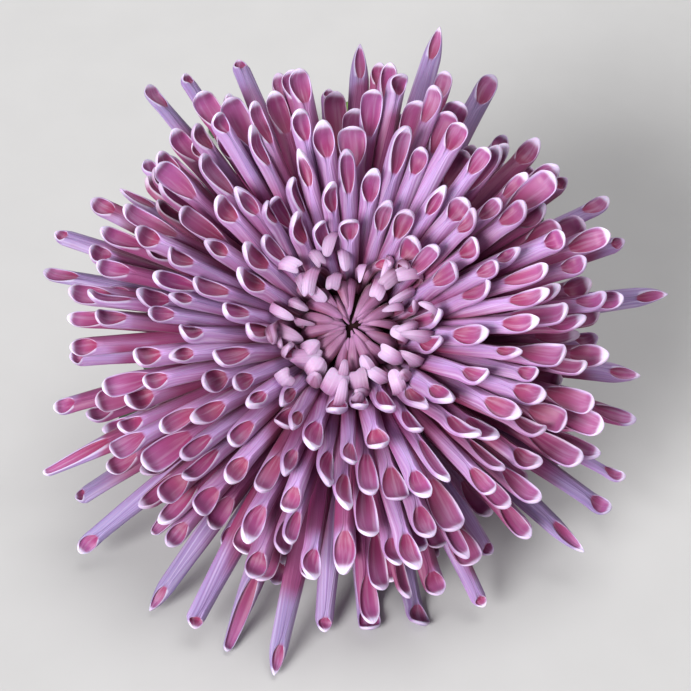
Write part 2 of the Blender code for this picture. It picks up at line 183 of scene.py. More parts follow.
# One section of a quill: points on its outside from rim to rim, then points across its mouth
OUTSIDE_POINTS = 9
BOTTOM_POINT = OUTSIDE_POINTS // 2
MOUTH_SHARES = (0.9, 0.5, 0.0, -0.5, -0.9)  # of the rim's angle, from the second rim to the first
RING = OUTSIDE_POINTS + len(MOUTH_SHARES)
CLOSED_ANGLE = math.radians(150.0)
PETAL_WALL = 0.24
UNDERSIDE_LIP_SHADE = 0.85  # how much less pale the lip is underneath: painted shade under it
MOUTH_LIP_SHADE = 0.7  # how much less pale it is inside the mouth: painted shade in the mouth
LONGEST_MOUTH = 0.45  # as a share of its petal
RIDGE = 0.035
QUILL_SPAN = 30.0
QUILL_RINGS = (
    # share of the quill, width, height
    (0.0, 0.40, 0.46),
    (0.22, 0.62, 0.66),
    (0.5, 0.86, 0.84),
    (0.8, 0.98, 0.95),
)
MOUTH_RINGS = (
    # place: nought to one along the open part, one to two along the nose; then spread, closing,
    # height, gape, sink, rise of the middle, pale tip (partly painted highlight)
    (0.00, 0.00, 1.00, 0.98, 0.03, 0.0, 0.00, 0.0),
    (0.18, 0.25, 1.00, 1.00, 0.26, 0.6, 0.00, 0.0),
    (0.45, 0.75, 1.00, 1.04, 0.60, 1.0, 0.00, 0.0),
    (0.75, 1.00, 0.98, 1.06, 0.92, 1.0, 0.04, 0.0),
    (1.00, 1.00, 0.93, 1.06, 1.00, 1.0, 0.12, 0.15),
    (1.35, 1.00, 0.84, 1.02, 0.94, 0.55, 0.26, 0.7),
    (1.70, 1.00, 0.62, 0.86, 0.66, 0.0, 0.40, 1.0),
    (2.00, 1.00, 0.26, 0.40, 0.34, 0.0, 0.52, 1.0),
)

# How the petals are eased apart where they crowd: places along a petal, and its half widths there
EASE_SHARES = (0.45, 0.60, 0.75, 0.88, 0.97)
EASE_RADII = (1.50, 1.80, 2.05, 2.25, 2.05)
EASE_ROUNDS = 60
EASE_LIMIT = 3.0
EASE_LIMIT_AT_RIM = 0.4  # of the limit
EASE_POWER = 1.5  # how the shift grows along a petal
EASE_STEP = 0.16
EASE_KEPT = 0.98  # of the shift, from one round to the next
SPOON_FROM = 0.7  # where along a petal its spoon counts

# A petal's fine lines: how close they are round it and along it, its grooves, and how far the
# pattern of one petal lies from that of the next
STREAKS_ACROSS = 26.0
STREAKS_ALONG = 2.2
GROOVES = 11.0
TONE_SPREAD = 47.0

# Where a petal's colours change, from start to end
UNDERSIDE_SHADE_SPAN = (0.08, 0.34)  # round it, from its upper side to its underside, where painted shade darkens a quill
UNDERSIDE_SHADE_FADE = (0.35, 0.95)  # along it, where that painted shade eases to its share at the tip
ROOT_SHADE_SPAN = (0.1, 0.6)  # along it, where the painted shade at the root gives way to the quill's own colour
RIM_COLOUR_AND_SHADE_SPAN = (0.45, 0.95)  # along it, where the rim's own colour and painted shade come in
MOUTH_CHANGE = (0.3, 0.75)  # from its outside into its mouth
ORCHID_CHANGE = (0.05, 0.95)  # along its mouth
COVERED_SHADE_SPAN = (1.5, 9.0)  # in millimetres under the other petals, where painted shade darkens a petal

# The heart: a low mound with rows of claws that fold inwards over slim closed fingers
HEART_RADIUS = 7.6
HEART_HEIGHT = 3.6
HEART_CENTRE = 14.0
DIMPLE_DEPTH = 0.8
DIMPLE_WIDTH = 2.2
CLAW_ROWS = (
    # count, reach of the head, top height, root height, length of the fold
    (8, 16.6, 23.8, 10.5, 4.6),
    (16, 14.0, 22.2, 11.0, 5.6),
    (14, 11.6, 21.6, 12.5, 5.2),
    (9, 9.8, 21.2, 14.0, 4.2),
)
OPEN_ROWS = 2  # the outer rows, where some claws are open
OPEN_CLAWS = 0.45
OPEN_CLAW_SIZES = (3.1, 2.6, 3.5)  # quill width, quill height, spoon width
CLAW_WIDTH = 3.9
CLAW_HEIGHT = 0.7  # as a share of its width
CLAW_NOTCH = 0.07
NOTCH_SPAN = (0.7, 1.0)
NOTCH_HALF_WIDTH = 0.6
LARGE_CLAWS_SIDE = math.radians(245.0)
CLAW_GROWTH = 0.2
LEAN_SWING = 0.3  # the swing of the third lead, as a share of the last one's

# How one claw differs from the next: its turn as a share of the space between two, how far its head
# and its top stray, what its fold and its width are multiplied by, its swing aside and its roll
CLAW_TURN = 0.2
CLAW_STRAY = 1.0
CLAW_RISE = (-1.2, 0.9)
CLAW_FOLD = (0.7, 1.3)
CLAW_WIDTHS = (0.72, 1.12)
CLAW_SWING = 0.2
CLAW_ROLL = 0.5

# How the heads of the claws are eased apart, and how near and far they may stand
CLAW_SPACING = 3.8
CLAW_REACH = (9.4, 17.6)
CLAW_ROUNDS = 40
CLAW_STEP = 0.2

# The slim fingers over the centre, and how one differs from the next
FINGER_OFFSET = 0.37  # of the space between two, from one row to the next
FINGER_HEIGHT = 0.85
FINGER_TURN = 0.2
FINGER_RISE = (-0.6, 0.6)
FINGER_GAP = (-0.4, 1.6)
FINGER_WIDTHS = (0.8, 1.2)
FINGER_SWING = 0.14
FINGER_ROLL = 0.25
FINGER_ROWS = (
    # count, root radius, root height, top radius, top height, tip radius, width
    (17, 9.6, 12.2, 8.6, 20.9, 1.9, 2.8),
    (13, 6.8, 13.0, 5.9, 20.3, 1.2, 2.2),
    (10, 3.8, 15.0, 3.0, 19.9, 0.6, 1.5),
)
CLAW_SHAPES = {
    # share of the claw, width, height
    "pointed": (
        (0.0, 0.42, 0.5), (0.32, 0.66, 0.8), (0.52, 0.94, 0.9), (0.68, 1.0, 0.8), (0.82, 0.84, 0.64),
        (0.92, 0.56, 0.46), (0.98, 0.30, 0.3), (1.0, 0.12, 0.14),
    ),
    "blunt": (
        (0.0, 0.42, 0.5), (0.35, 0.64, 0.8), (0.55, 0.86, 0.9), (0.72, 0.98, 0.8), (0.86, 1.0, 0.66),
        (0.94, 0.86, 0.52), (0.985, 0.60, 0.36), (1.0, 0.26, 0.18),
    ),
    "narrow": (
        (0.0, 0.42, 0.5), (0.35, 0.58, 0.8), (0.55, 0.70, 0.9), (0.74, 0.74, 0.82), (0.88, 0.64, 0.64),
        (0.96, 0.42, 0.44), (1.0, 0.14, 0.18),
    ),
    "notched": (
        (0.0, 0.42, 0.5), (0.35, 0.62, 0.8), (0.55, 0.84, 0.9), (0.72, 1.0, 0.8), (0.86, 1.04, 0.6),
        (0.94, 0.98, 0.5), (0.985, 0.76, 0.4), (1.0, 0.36, 0.3),
    ),
}
FINGER_RINGS = (
    # share of the finger, width, height
    (0.0, 0.7, 0.7),
    (0.3, 0.95, 0.95),
    (0.55, 1.0, 0.95),
    (0.76, 0.78, 0.8),
    (0.92, 0.46, 0.5),
    (1.0, 0.16, 0.2),
)

# The section of a claw or finger: its points, its ridges, and the height of its back and its front
FLORET_AROUND = 10
FLORET_RIDGE = 0.05
FLORET_BACK = 0.8
FLORET_FRONT = 0.5
PALE_SPAN = (0.62, 1.0)  # where along it its tip turns pale

# The green cup of bracts behind the petals: its turned outline as (radius, height)
CUP_TOP = -3.7
CUP_BOTTOM = -15.0
CUP_OUTLINE = (
    (2.0, CUP_TOP), (11.0, CUP_TOP), (11.5, -5.2), (10.4, -9.4), (6.6, -13.4), (2.6, CUP_BOTTOM),
)
BRACT_ROWS = (
    # count, top, bottom, how far the tip stands off the cup
    (16, -2.4, -9.8, 1.5),
    (15, -5.4, -12.2, 0.5),
    (13, -8.4, -14.0, 0.4),
)
BRACT_RINGS = (
    # share of the bract, half width, thickness
    (0.0, 1.1, 0.5),
    (0.3, 1.95, 0.5),
    (0.6, 2.15, 0.42),
    (0.85, 1.5, 0.3),
    (1.0, 0.3, 0.2),
)
BRACT_AROUND = 10
BRACT_KEEL = 0.11  # how far its sides bend, by the square of the place across
CUP_AROUND = 24

# The stem: a neck that bends down from the cup, then a straight run on the surface
STEM_RADIUS = 2.3
STEM_LIE = 2.2
STEM_END = 118.0
STEM_RIBS = 8
STEM_AROUND = 32
RIB_DEPTH = 0.16
RIB_TINT = 0.6
STEM_IN_CUP = (-1.6, -0.6)  # two places inside the cup, where the stem starts
NECK_STEPS = 16
STRAIGHT_STEPS = 11
JOINT_SWELL = (0.3, 0.35)  # two factors of how much thicker the stem is at a leaf joint
JOINT_SPREAD = 3.0
JOINT_GAP = 0.4
CUT_RINGS = ((0.9, 0.0), (0.82, 0.35), (0.3, 0.5))  # share of the stem's width, how far it sinks

# The hairs of the stem: how many are tried, and how low one may stand
HAIRS = 700
HAIR_LENGTH = 0.7
HAIR_RADIUS = 0.05
HAIR_CLEARANCE = 1.4
HAIR_ROOT = 0.15
HAIRY_SPAN = (0.04, 0.985)
HAIR_LEAN = (-0.5, 0.2)

# The leaves: name, the four points that lead the midrib, the blade's half width
LEAVES = (
    ("leaf_1", ((-2.55, 36.0, 5.6), (-15.0, 34.0, 13.0), (-33.0, 22.0, 9.0), (-54.0, 0.0, 0.2)), 13.0),
    ("leaf_2", ((2.95, 62.0, 2.6), (13.0, 66.0, 11.0), (30.0, 74.0, 12.0), (50.0, 76.0, 0.2)), 12.0),
    ("leaf_3", ((-3.0, 88.0, 2.6), (-10.0, 93.0, 9.0), (-22.0, 104.0, 9.0), (-38.0, 112.0, 0.2)), 10.5),
)
LEAF_THICKNESS = 0.6
LEAF_FOLD = 0.16
LEAF_WAVE = 0.7
LEAF_STALK = ((0.0, 0.07), (0.10, 0.06), (0.20, 0.08))  # share along, half width as a share
LEAF_LOBES = ((0.26, 0.44, 0.70), (0.46, 0.63, 1.0), (0.66, 0.80, 0.86))  # start, end, width
LOBE_TEETH = ((0.0, 0.34, 0.0), (0.30, 0.78, 0.35), (0.58, 1.0, 0.45), (0.84, 0.66, 0.40))
LEAF_END = ((0.83, 0.30, 0.0), (0.88, 0.52, 0.3), (0.94, 0.34, 0.2), (1.0, 0.04, 0.0))
LEAF_COLUMNS = 16
LEAF_ROWS = 90
LEAF_LIFT = 0.02
WAVE_TURN = 2.6  # from one station of the outline to the next
VEIN_DEPTH = 0.22
VEIN_SPACING = 0.097
VEIN_SLANT = 0.16
VEIN_EDGE = (0.03, 0.16)
MIDRIB_EDGE = (0.03, 0.13)
VEINLESS_WIDTH = 0.1
SHARE_STEP = 0.02

# The picture's width in pixels, the sensor's in millimetres, and how far aside of the bloom's middle
# and below it the camera aims
PHOTO_SIDE = 691
SENSOR = 36.0
AIM_ASIDE = -1.0
AIM_BELOW = 1.65

# The lights and the surround: where each light comes from, how broad it is, and the surround's
# colours as it is seen and as it lights
KEY_FROM = Vector((-0.42, -0.50, 0.36))
KEY_BREADTH = math.radians(30.0)
FILL_FROM = Vector((0.16, 0.22, 0.80))
FILL_BREADTH = math.radians(40.0)
BACKDROP = 0.76  # the brightness of the surround as it is seen
SEEN_COLOUR = (0.99, 0.98, 0.97, 1.0)
LIGHTING_COLOUR = (0.95, 0.94, 0.98, 1.0)
FLOOR_RADIUS = 4.0


def colour_property(name, description, default):
    """A colour that a user can change."""
    return FloatVectorProperty(name=name, description=description, subtype="COLOR", default=default)


def size_property(name, description, default):
    """A length that a user can change, in metres."""
    return FloatProperty(name=name, description=description, unit="LENGTH", default=default)


def strength_property(name, description, default):
    """A light's strength that a user can change."""
    return FloatProperty(name=name, description=description, default=default)


class PetalSettings(bpy.types.PropertyGroup):
    """Sizes and colours of the ray petals."""

    quill_width: size_property("Quill width", "Width of a quill before its mouth", 4.5 * MM)
    quill_height: size_property("Quill height", "Height of a quill before its mouth", 2.5 * MM)
    spoon_width: size_property("Spoon width", "Width of a spoon at its widest", 4.9 * MM)
    extra: IntProperty(
        name="Extra petals", description="Petals added between those of the frame",
        default=60, min=0, max=120,
    )
    body: colour_property("Quill", "Colour of a quill", (0.435, 0.262, 0.545))
    # Painted shade: the deep maroon a quill takes near its root, on its underside and where other petals
    # cover it
    root: colour_property("Root", "Colour of a quill near its root", (0.22, 0.018, 0.09))
    # Partly the outer quills' own bluer colour, partly painted shade where the light falls off at the rim
    rim: colour_property("Outer quill", "Colour of the quills at the rim", (0.235, 0.165, 0.36))
    rose: colour_property("Mouth", "Colour deep in a mouth", (0.27, 0.028, 0.105))
    orchid: colour_property("Mouth end", "Colour of a mouth near the tip", (0.34, 0.09, 0.25))
    # Partly the petals' own pale lips and edges, partly painted highlight on them; it also lightens the
    # fine streaks
    pale: colour_property("Lip", "Colour of lips and edges", (0.76, 0.66, 0.86))


class HeartSettings(bpy.types.PropertyGroup):
    """Colours of the florets of the heart."""

    body: colour_property("Claw", "Colour of the folded claws", (0.37, 0.175, 0.33))
    pale: colour_property("Claw tip", "Colour of the claws' tips", (0.56, 0.40, 0.60))
    rose: colour_property("Claw mouth", "Colour inside the open claws", (0.30, 0.03, 0.12))
    finger: colour_property("Finger", "Colour of the slim fingers", (0.25, 0.10, 0.20))
    # Painted shade: the deep maroon a floret takes near its root and on its sides
    root: colour_property("Root", "Colour of the florets near their roots", (0.15, 0.02, 0.055))
    # Near black: partly the buds' own dark colour, partly painted shade deep between the florets
    centre: colour_property("Centre", "Colour of the closed centre", (0.02, 0.005, 0.008))


class GreenSettings(bpy.types.PropertyGroup):
    """Colours of the bracts, the stem and the leaves."""

    bract: colour_property("Bract", "Colour of the bracts", (0.10, 0.19, 0.045))
    bract_edge: colour_property("Bract edge", "Colour of the papery edges", (0.34, 0.36, 0.16))
    stem: colour_property("Stem", "Colour of the stem", (0.13, 0.22, 0.06))
    stem_rib: colour_property("Stem rib", "Colour of the stem's ribs", (0.26, 0.36, 0.13))
    blade: colour_property("Leaf", "Colour of the leaf blades", (0.028, 0.07, 0.026))
    vein: colour_property("Vein", "Colour of the veins", (0.10, 0.17, 0.07))


class StageSettings(bpy.types.PropertyGroup):
    """The camera, the lights and the floor."""

    elevation: FloatProperty(
        name="Elevation", description="Height of the camera above the horizon",
        default=math.radians(47.0), subtype="ANGLE",
    )
    distance: size_property("Distance", "Distance of the camera from the bloom", 0.45)
    pixel: size_property("Pixel", "Size at the bloom of one pixel of the picture", 0.22 * MM)
    key: strength_property("Key light", "Strength of the soft light from the lower left", 4.5)
    fill: strength_property("Fill light", "Strength of the soft light from above", 1.4)
    surround: strength_property("Surround", "Strength of the even light from all round", 0.25)
    floor: colour_property("Floor", "Colour of the floor", (0.54, 0.535, 0.53))


def unit(vectors):
    """Each row at length one."""
    return vectors / np.linalg.norm(vectors, axis=-1, keepdims=True)


def polar_direction(polar, azimuth):
    """A unit vector at this angle from the bloom's axis and at this clock angle."""
    return np.array((
        math.sin(polar) * math.cos(azimuth),
        math.sin(polar) * math.sin(azimuth),
        math.cos(polar),
    ))


def turn_between(a, b):
    """The smaller angle between two clock angles."""
    return abs((a - b + math.pi) % FULL_TURN - math.pi)


def smooth_step(values, low, high):
    """Nought below low, one above high, and a smooth rise between them."""
    share = np.clip((values - low) / (high - low), 0.0, 1.0)
    return share * share * (3.0 - 2.0 * share)


def height_over_surface(points):
    """The height above the surface of points in the bloom's frame."""
    return HEAD_HEIGHT + points[..., 1] * math.cos(FACE_TILT) + points[..., 2] * math.sin(FACE_TILT)


def bloom_to_frame(points):
    """Points of the bloom, in millimetres, as places in the frame, in metres."""
    x = points[:, 0] - HEAD_ASIDE
    y = points[:, 1] * math.sin(FACE_TILT) - points[:, 2] * math.cos(FACE_TILT) - HEAD_FORWARD
    return np.stack((x, y, height_over_surface(points)), axis=1) * MM


def lying_to_frame(points):
    """Points of the stem or a leaf, in millimetres, as places in the frame, in metres."""
    return (points - np.array((HEAD_ASIDE, HEAD_FORWARD, 0.0))) * MM


def bezier(leads, shares):
    """The points at these shares of the cubic curve that the four leads give."""
    a, b, c, d = (np.asarray(lead, float) for lead in leads)
    t = np.asarray(shares, float)[..., None]
    return (1 - t) ** 3 * a + 3 * t * (1 - t) ** 2 * b + 3 * t * t * (1 - t) * c + t ** 3 * d


def lift_off_surface(points):
    """Pushes middle points that would lie too low out along the bloom's axis, softly."""
    heights = height_over_surface(points)
    over = (heights - RESTING_HEIGHT) / RESTING_SOFTNESS
    softened = RESTING_SOFTNESS * (np.log1p(np.exp(-np.abs(over))) + np.maximum(over, 0.0))
    lifted = points.copy()
    lifted[:, 2] += (RESTING_HEIGHT + softened - heights) / math.sin(FACE_TILT)
    return lifted


class MiddleLine:
    """The line that a petal, floret or bract follows, with its side and its upper side."""

    STEPS = 28
    CURL_SPAN = (0.62, 1.2)
    ROLL_SPAN = (0.1, 0.9)

    def __init__(self, leads, azimuth, roll=0.0, lies=False, curl=0.0):
        shares = np.linspace(0.0, 1.0, self.STEPS + 1)
        self.sideways = np.array((-math.sin(azimuth), math.cos(azimuth), 0.0))
        self.lies = lies
        self.points = bezier(leads, shares)
        self.find_sides()
        self.points = self.points + curl * smooth_step(shares, *self.CURL_SPAN)[:, None] * self.upper
        if lies:
            self.points = lift_off_surface(self.points)
        self.find_sides()
        turn = roll * smooth_step(shares, *self.ROLL_SPAN)[:, None]
        upper, beside = self.upper, self.beside
        self.upper = np.cos(turn) * upper - np.sin(turn) * beside
        self.beside = np.cos(turn) * beside + np.sin(turn) * upper
        steps = np.linalg.norm(np.diff(self.points, axis=0), axis=1)
        self.lengths = np.concatenate(([0.0], np.cumsum(steps)))
        self.length = self.lengths[-1]

    def find_sides(self):
        """Works out the line's upper side and its side at every point."""
        ahead = unit(np.gradient(self.points, axis=0))
        self.upper = unit(np.cross(ahead, self.sideways))
        self.beside = np.cross(self.upper, ahead)

    def lay(self, along, across, up):
        """Points this far along the line, to its side and to its upper side."""
        def read(rows):
            return np.stack([np.interp(along, self.lengths, rows[:, k]) for k in range(3)], axis=1)

        points = read(self.points) + across[:, None] * read(self.beside)
        points = points + up[:, None] * read(self.upper)
        if self.lies:
            sunk = np.maximum(-height_over_surface(points), 0.0)
            points[:, 2] += sunk / math.sin(FACE_TILT)
        return points


class Canopy:
    """The upper and the lower surface of all petals together, seen along the bloom's axis, for painted
    shade inside the bloom.
    """

    CELL = 3.0
    REACH = 90.0
    EMPTY = 1000.0

    def __init__(self, lines):
        size = 2 * round(self.REACH / self.CELL) + 1
        self.upper = np.full((size, size), -self.EMPTY)
        self.lower = np.full((size, size), self.EMPTY)
        points = np.concatenate([line.points for line in lines])
        cells = tuple(np.rint((points[:, :2] + self.REACH) / self.CELL).astype(int).T)
        np.maximum.at(self.upper, cells, points[:, 2])
        np.minimum.at(self.lower, cells, points[:, 2])
        for axis in (0, 1):
            self.upper = np.max([np.roll(self.upper, step, axis) for step in (-1, 0, 1)], axis=0)
            self.lower = np.min([np.roll(self.lower, step, axis) for step in (-1, 0, 1)], axis=0)

    def depth(self, points):
        """How far places lie inside the petals, from the nearer of the two surfaces."""
        place = (points[:, :2] + self.REACH) / self.CELL
        corner = np.floor(place).astype(int)
        share = place - corner
        surfaces = []
        for grid in (self.upper, self.lower):
            height = 0.0
            for right in (0, 1):
                for above in (0, 1):
                    weight = abs(1 - right - share[:, 0]) * abs(1 - above - share[:, 1])
                    height = height + weight * grid[corner[:, 0] + right, corner[:, 1] + above]
            surfaces.append(height)
        return np.clip(np.minimum(surfaces[0] - points[:, 2], points[:, 2] - surfaces[1]), 0.0, None)


def select_only(*objects):
    """Makes these the only selected objects, the first one active."""
    if bpy.context.mode != "OBJECT":
        bpy.ops.object.mode_set(mode="OBJECT")
    bpy.ops.object.select_all(action="DESELECT")
    for piece in objects:
        piece.select_set(True)
    bpy.context.view_layer.objects.active = objects[0]


def read_points(mesh):
    """The mesh's vertices as rows, in millimetres."""
    points = np.empty(len(mesh.vertices) * 3, np.float32)
    mesh.vertices.foreach_get("co", points)
    return points.reshape(-1, 3).astype(float) / MM


def write_points(mesh, points):
    """Sets the mesh's vertices from rows in metres."""
    mesh.vertices.foreach_set("co", np.asarray(points, np.float32).ravel())
    mesh.update()


def mark(piece, **marks):
    """Sets numbers on every vertex of a piece, by name, for its material to read."""
    mesh = piece.data
    for name, values in marks.items():
        attribute = mesh.attributes.get(name) or mesh.attributes.new(name, "FLOAT", "POINT")
        spread = np.broadcast_to(values, len(mesh.vertices)).astype(np.float32)
        attribute.data.foreach_set("value", spread)


def subdivide(piece, levels=1):
    """Applies a subdivision surface and smooth shading."""
    select_only(piece)
    bpy.ops.object.modifier_add(type="SUBSURF")
    surface = piece.modifiers[-1]
    surface.levels = levels
    surface.render_levels = levels
    bpy.ops.object.modifier_apply(modifier=surface.name)
    bpy.ops.object.shade_smooth()


def draw_out(name, sections, seam=0):
    """A closed tube: a disc drawn out once for each section, each ring then set to its points.

    Sections are rings of points in millimetres. The map named round runs round and along it.
    It returns the tube, and the section and the place in its ring of each vertex.
    """
    sections = np.asarray(sections, float)
    around = sections.shape[1]
    bpy.ops.object.select_all(action="DESELECT")
    bpy.ops.mesh.primitive_circle_add(vertices=around, radius=MM, fill_type="NGON", calc_uvs=False)
    tube = bpy.context.object
    tube.name = name
    bpy.ops.object.mode_set(mode="EDIT")
    bpy.ops.mesh.select_all(action="SELECT")
    for _ in sections[1:]:
        bpy.ops.mesh.extrude_region_move(TRANSFORM_OT_translate={"value": (0.0, 0.0, MM)})
    bpy.ops.object.mode_set(mode="OBJECT")
    drawn = read_points(tube.data)
    ring = np.rint(drawn[:, 2]).astype(int)
    place = np.rint(np.arctan2(drawn[:, 1], drawn[:, 0]) / FULL_TURN * around).astype(int) % around
    write_points(tube.data, sections[ring, place] * MM)
    map_round(tube.data, ring, (place - seam) % around, around, len(sections) - 1)
    bpy.ops.object.mode_set(mode="EDIT")
    bpy.ops.mesh.select_all(action="SELECT")
    bpy.ops.mesh.normals_make_consistent(inside=False)
    bpy.ops.object.mode_set(mode="OBJECT")
    return tube, ring, place


def map_round(mesh, ring, place, around, last):
    """Writes the map that runs round a tube in U and along it in V."""
    layer = mesh.uv_layers.new(name="round")
    for face in mesh.polygons:
        places = [place[vert] for vert in face.vertices]
        crosses = 0 in places and around - 1 in places
        for loop, vert, turn in zip(face.loop_indices, face.vertices, places):
            turn = around if crosses and turn == 0 else turn
            layer.data[loop].uv = (turn / around, ring[vert] / last)


def remove_piece(piece):
    """Removes an object and its mesh."""
    mesh = piece.data
    bpy.data.objects.remove(piece, do_unlink=True)
    bpy.data.meshes.remove(mesh)


def join_pieces(name, pieces, slot, *nodes):
    """Joins pieces into one that stands for these nodes of the frame."""
    select_only(*pieces)
    if len(pieces) > 1:
        bpy.ops.object.join()
    joined = bpy.context.object
    joined.name = name
    joined.data.name = name
    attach(joined, "root")
    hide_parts(*nodes)
    return joined


class Shading:
    """A material with a Principled shader, and short ways to add nodes to it."""

    NOISE_DETAIL = 3.0

    def __init__(self, name, roughness, subsurface=0.0, specular=0.5):
        self.material = bpy.data.materials.new(name)
        self.material.use_nodes = True
        self.nodes = self.material.node_tree.nodes
        self.links = self.material.node_tree.links
        self.shader = self.nodes["Principled BSDF"]
        self.shader.inputs["Roughness"].default_value = roughness
        self.shader.inputs["Specular IOR Level"].default_value = specular
        self.shader.inputs["Subsurface Weight"].default_value = subsurface

    def feed(self, socket, value):
        """Links a socket, or sets a plain value on it."""
        if isinstance(value, bpy.types.NodeSocket):
            self.links.new(value, socket)
        elif hasattr(value, "__len__") and len(value) == 3 and socket.type == "RGBA":
            socket.default_value = (*value, 1.0)
        else:
            socket.default_value = value

    def attribute(self, name):
        """A number that the piece carries on its vertices."""
        node = self.nodes.new("ShaderNodeAttribute")
        node.attribute_name = name
        return node.outputs["Fac"]

    def map_parts(self, name):
        """The U and the V of a map."""
        node = self.nodes.new("ShaderNodeUVMap")
        node.uv_map = name
        parts = self.nodes.new("ShaderNodeSeparateXYZ")
        self.links.new(node.outputs["UV"], parts.inputs["Vector"])
        return parts.outputs["X"], parts.outputs["Y"]

    def place(self):
        """The place on the piece, in metres."""
        return self.nodes.new("ShaderNodeTexCoord").outputs["Object"]

    def math(self, operation, first, second=0.0):
        """What this operation makes of one or two numbers."""
        node = self.nodes.new("ShaderNodeMath")
        node.operation = operation
        self.feed(node.inputs[0], first)
        self.feed(node.inputs[1], second)
        return node.outputs["Value"]

    def times(self, first, second):
        """The product of two numbers."""
        return self.math("MULTIPLY", first, second)

    def spread(self, share, least, width):
        """A share from nought to one as a number that starts at the least one."""
        return self.math("ADD", self.times(share, width), least)

    def vector(self, x, y, z):
        """Three numbers as one place."""
        node = self.nodes.new("ShaderNodeCombineXYZ")
        for socket, value in zip(node.inputs, (x, y, z)):
            self.feed(socket, value)
        return node.outputs["Vector"]

    def noise(self, vector, scale):
        """A cloudy pattern from nought to one."""
        node = self.nodes.new("ShaderNodeTexNoise")
        self.feed(node.inputs["Vector"], vector)
        node.inputs["Scale"].default_value = scale
        node.inputs["Detail"].default_value = self.NOISE_DETAIL
        return node.outputs["Fac"]

    def range(self, value, low, high, to_low=0.0, to_high=1.0):
        """A smooth step from one value to another while the input goes from low to high."""
        node = self.nodes.new("ShaderNodeMapRange")
        node.interpolation_type = "SMOOTHSTEP"
        for name, number in (
            ("Value", value), ("From Min", low), ("From Max", high),
            ("To Min", to_low), ("To Max", to_high),
        ):
            self.feed(node.inputs[name], number)
        return node.outputs["Result"]

    def mix(self, share, first, second):
        """The first colour, turned towards the second by this share."""
        node = self.nodes.new("ShaderNodeMix")
        node.data_type = "RGBA"
        self.feed(node.inputs[0], share)
        self.feed(node.inputs[6], first)
        self.feed(node.inputs[7], second)
        return node.outputs[2]

    def tint(self, colour, value, hue=0.5):
        """A colour made lighter or darker by this value, and turned round the hues."""
        node = self.nodes.new("ShaderNodeHueSaturation")
        for name, number in (("Color", colour), ("Hue", hue), ("Value", value)):
            self.feed(node.inputs[name], number)
        return node.outputs["Color"]

    def colour(self, value):
        """Gives the surface its colour."""
        self.feed(self.shader.inputs["Base Color"], value)

    def roughness(self, value):
        """Gives the surface a roughness that changes over it."""
        self.feed(self.shader.inputs["Roughness"], value)

    def bump(self, height, strength, depth):
        """Gives the surface fine relief of this depth, in metres."""
        node = self.nodes.new("ShaderNodeBump")
        node.inputs["Strength"].default_value = strength
        node.inputs["Distance"].default_value = depth
        self.feed(node.inputs["Height"], height)
        self.links.new(node.outputs["Normal"], self.shader.inputs["Normal"])


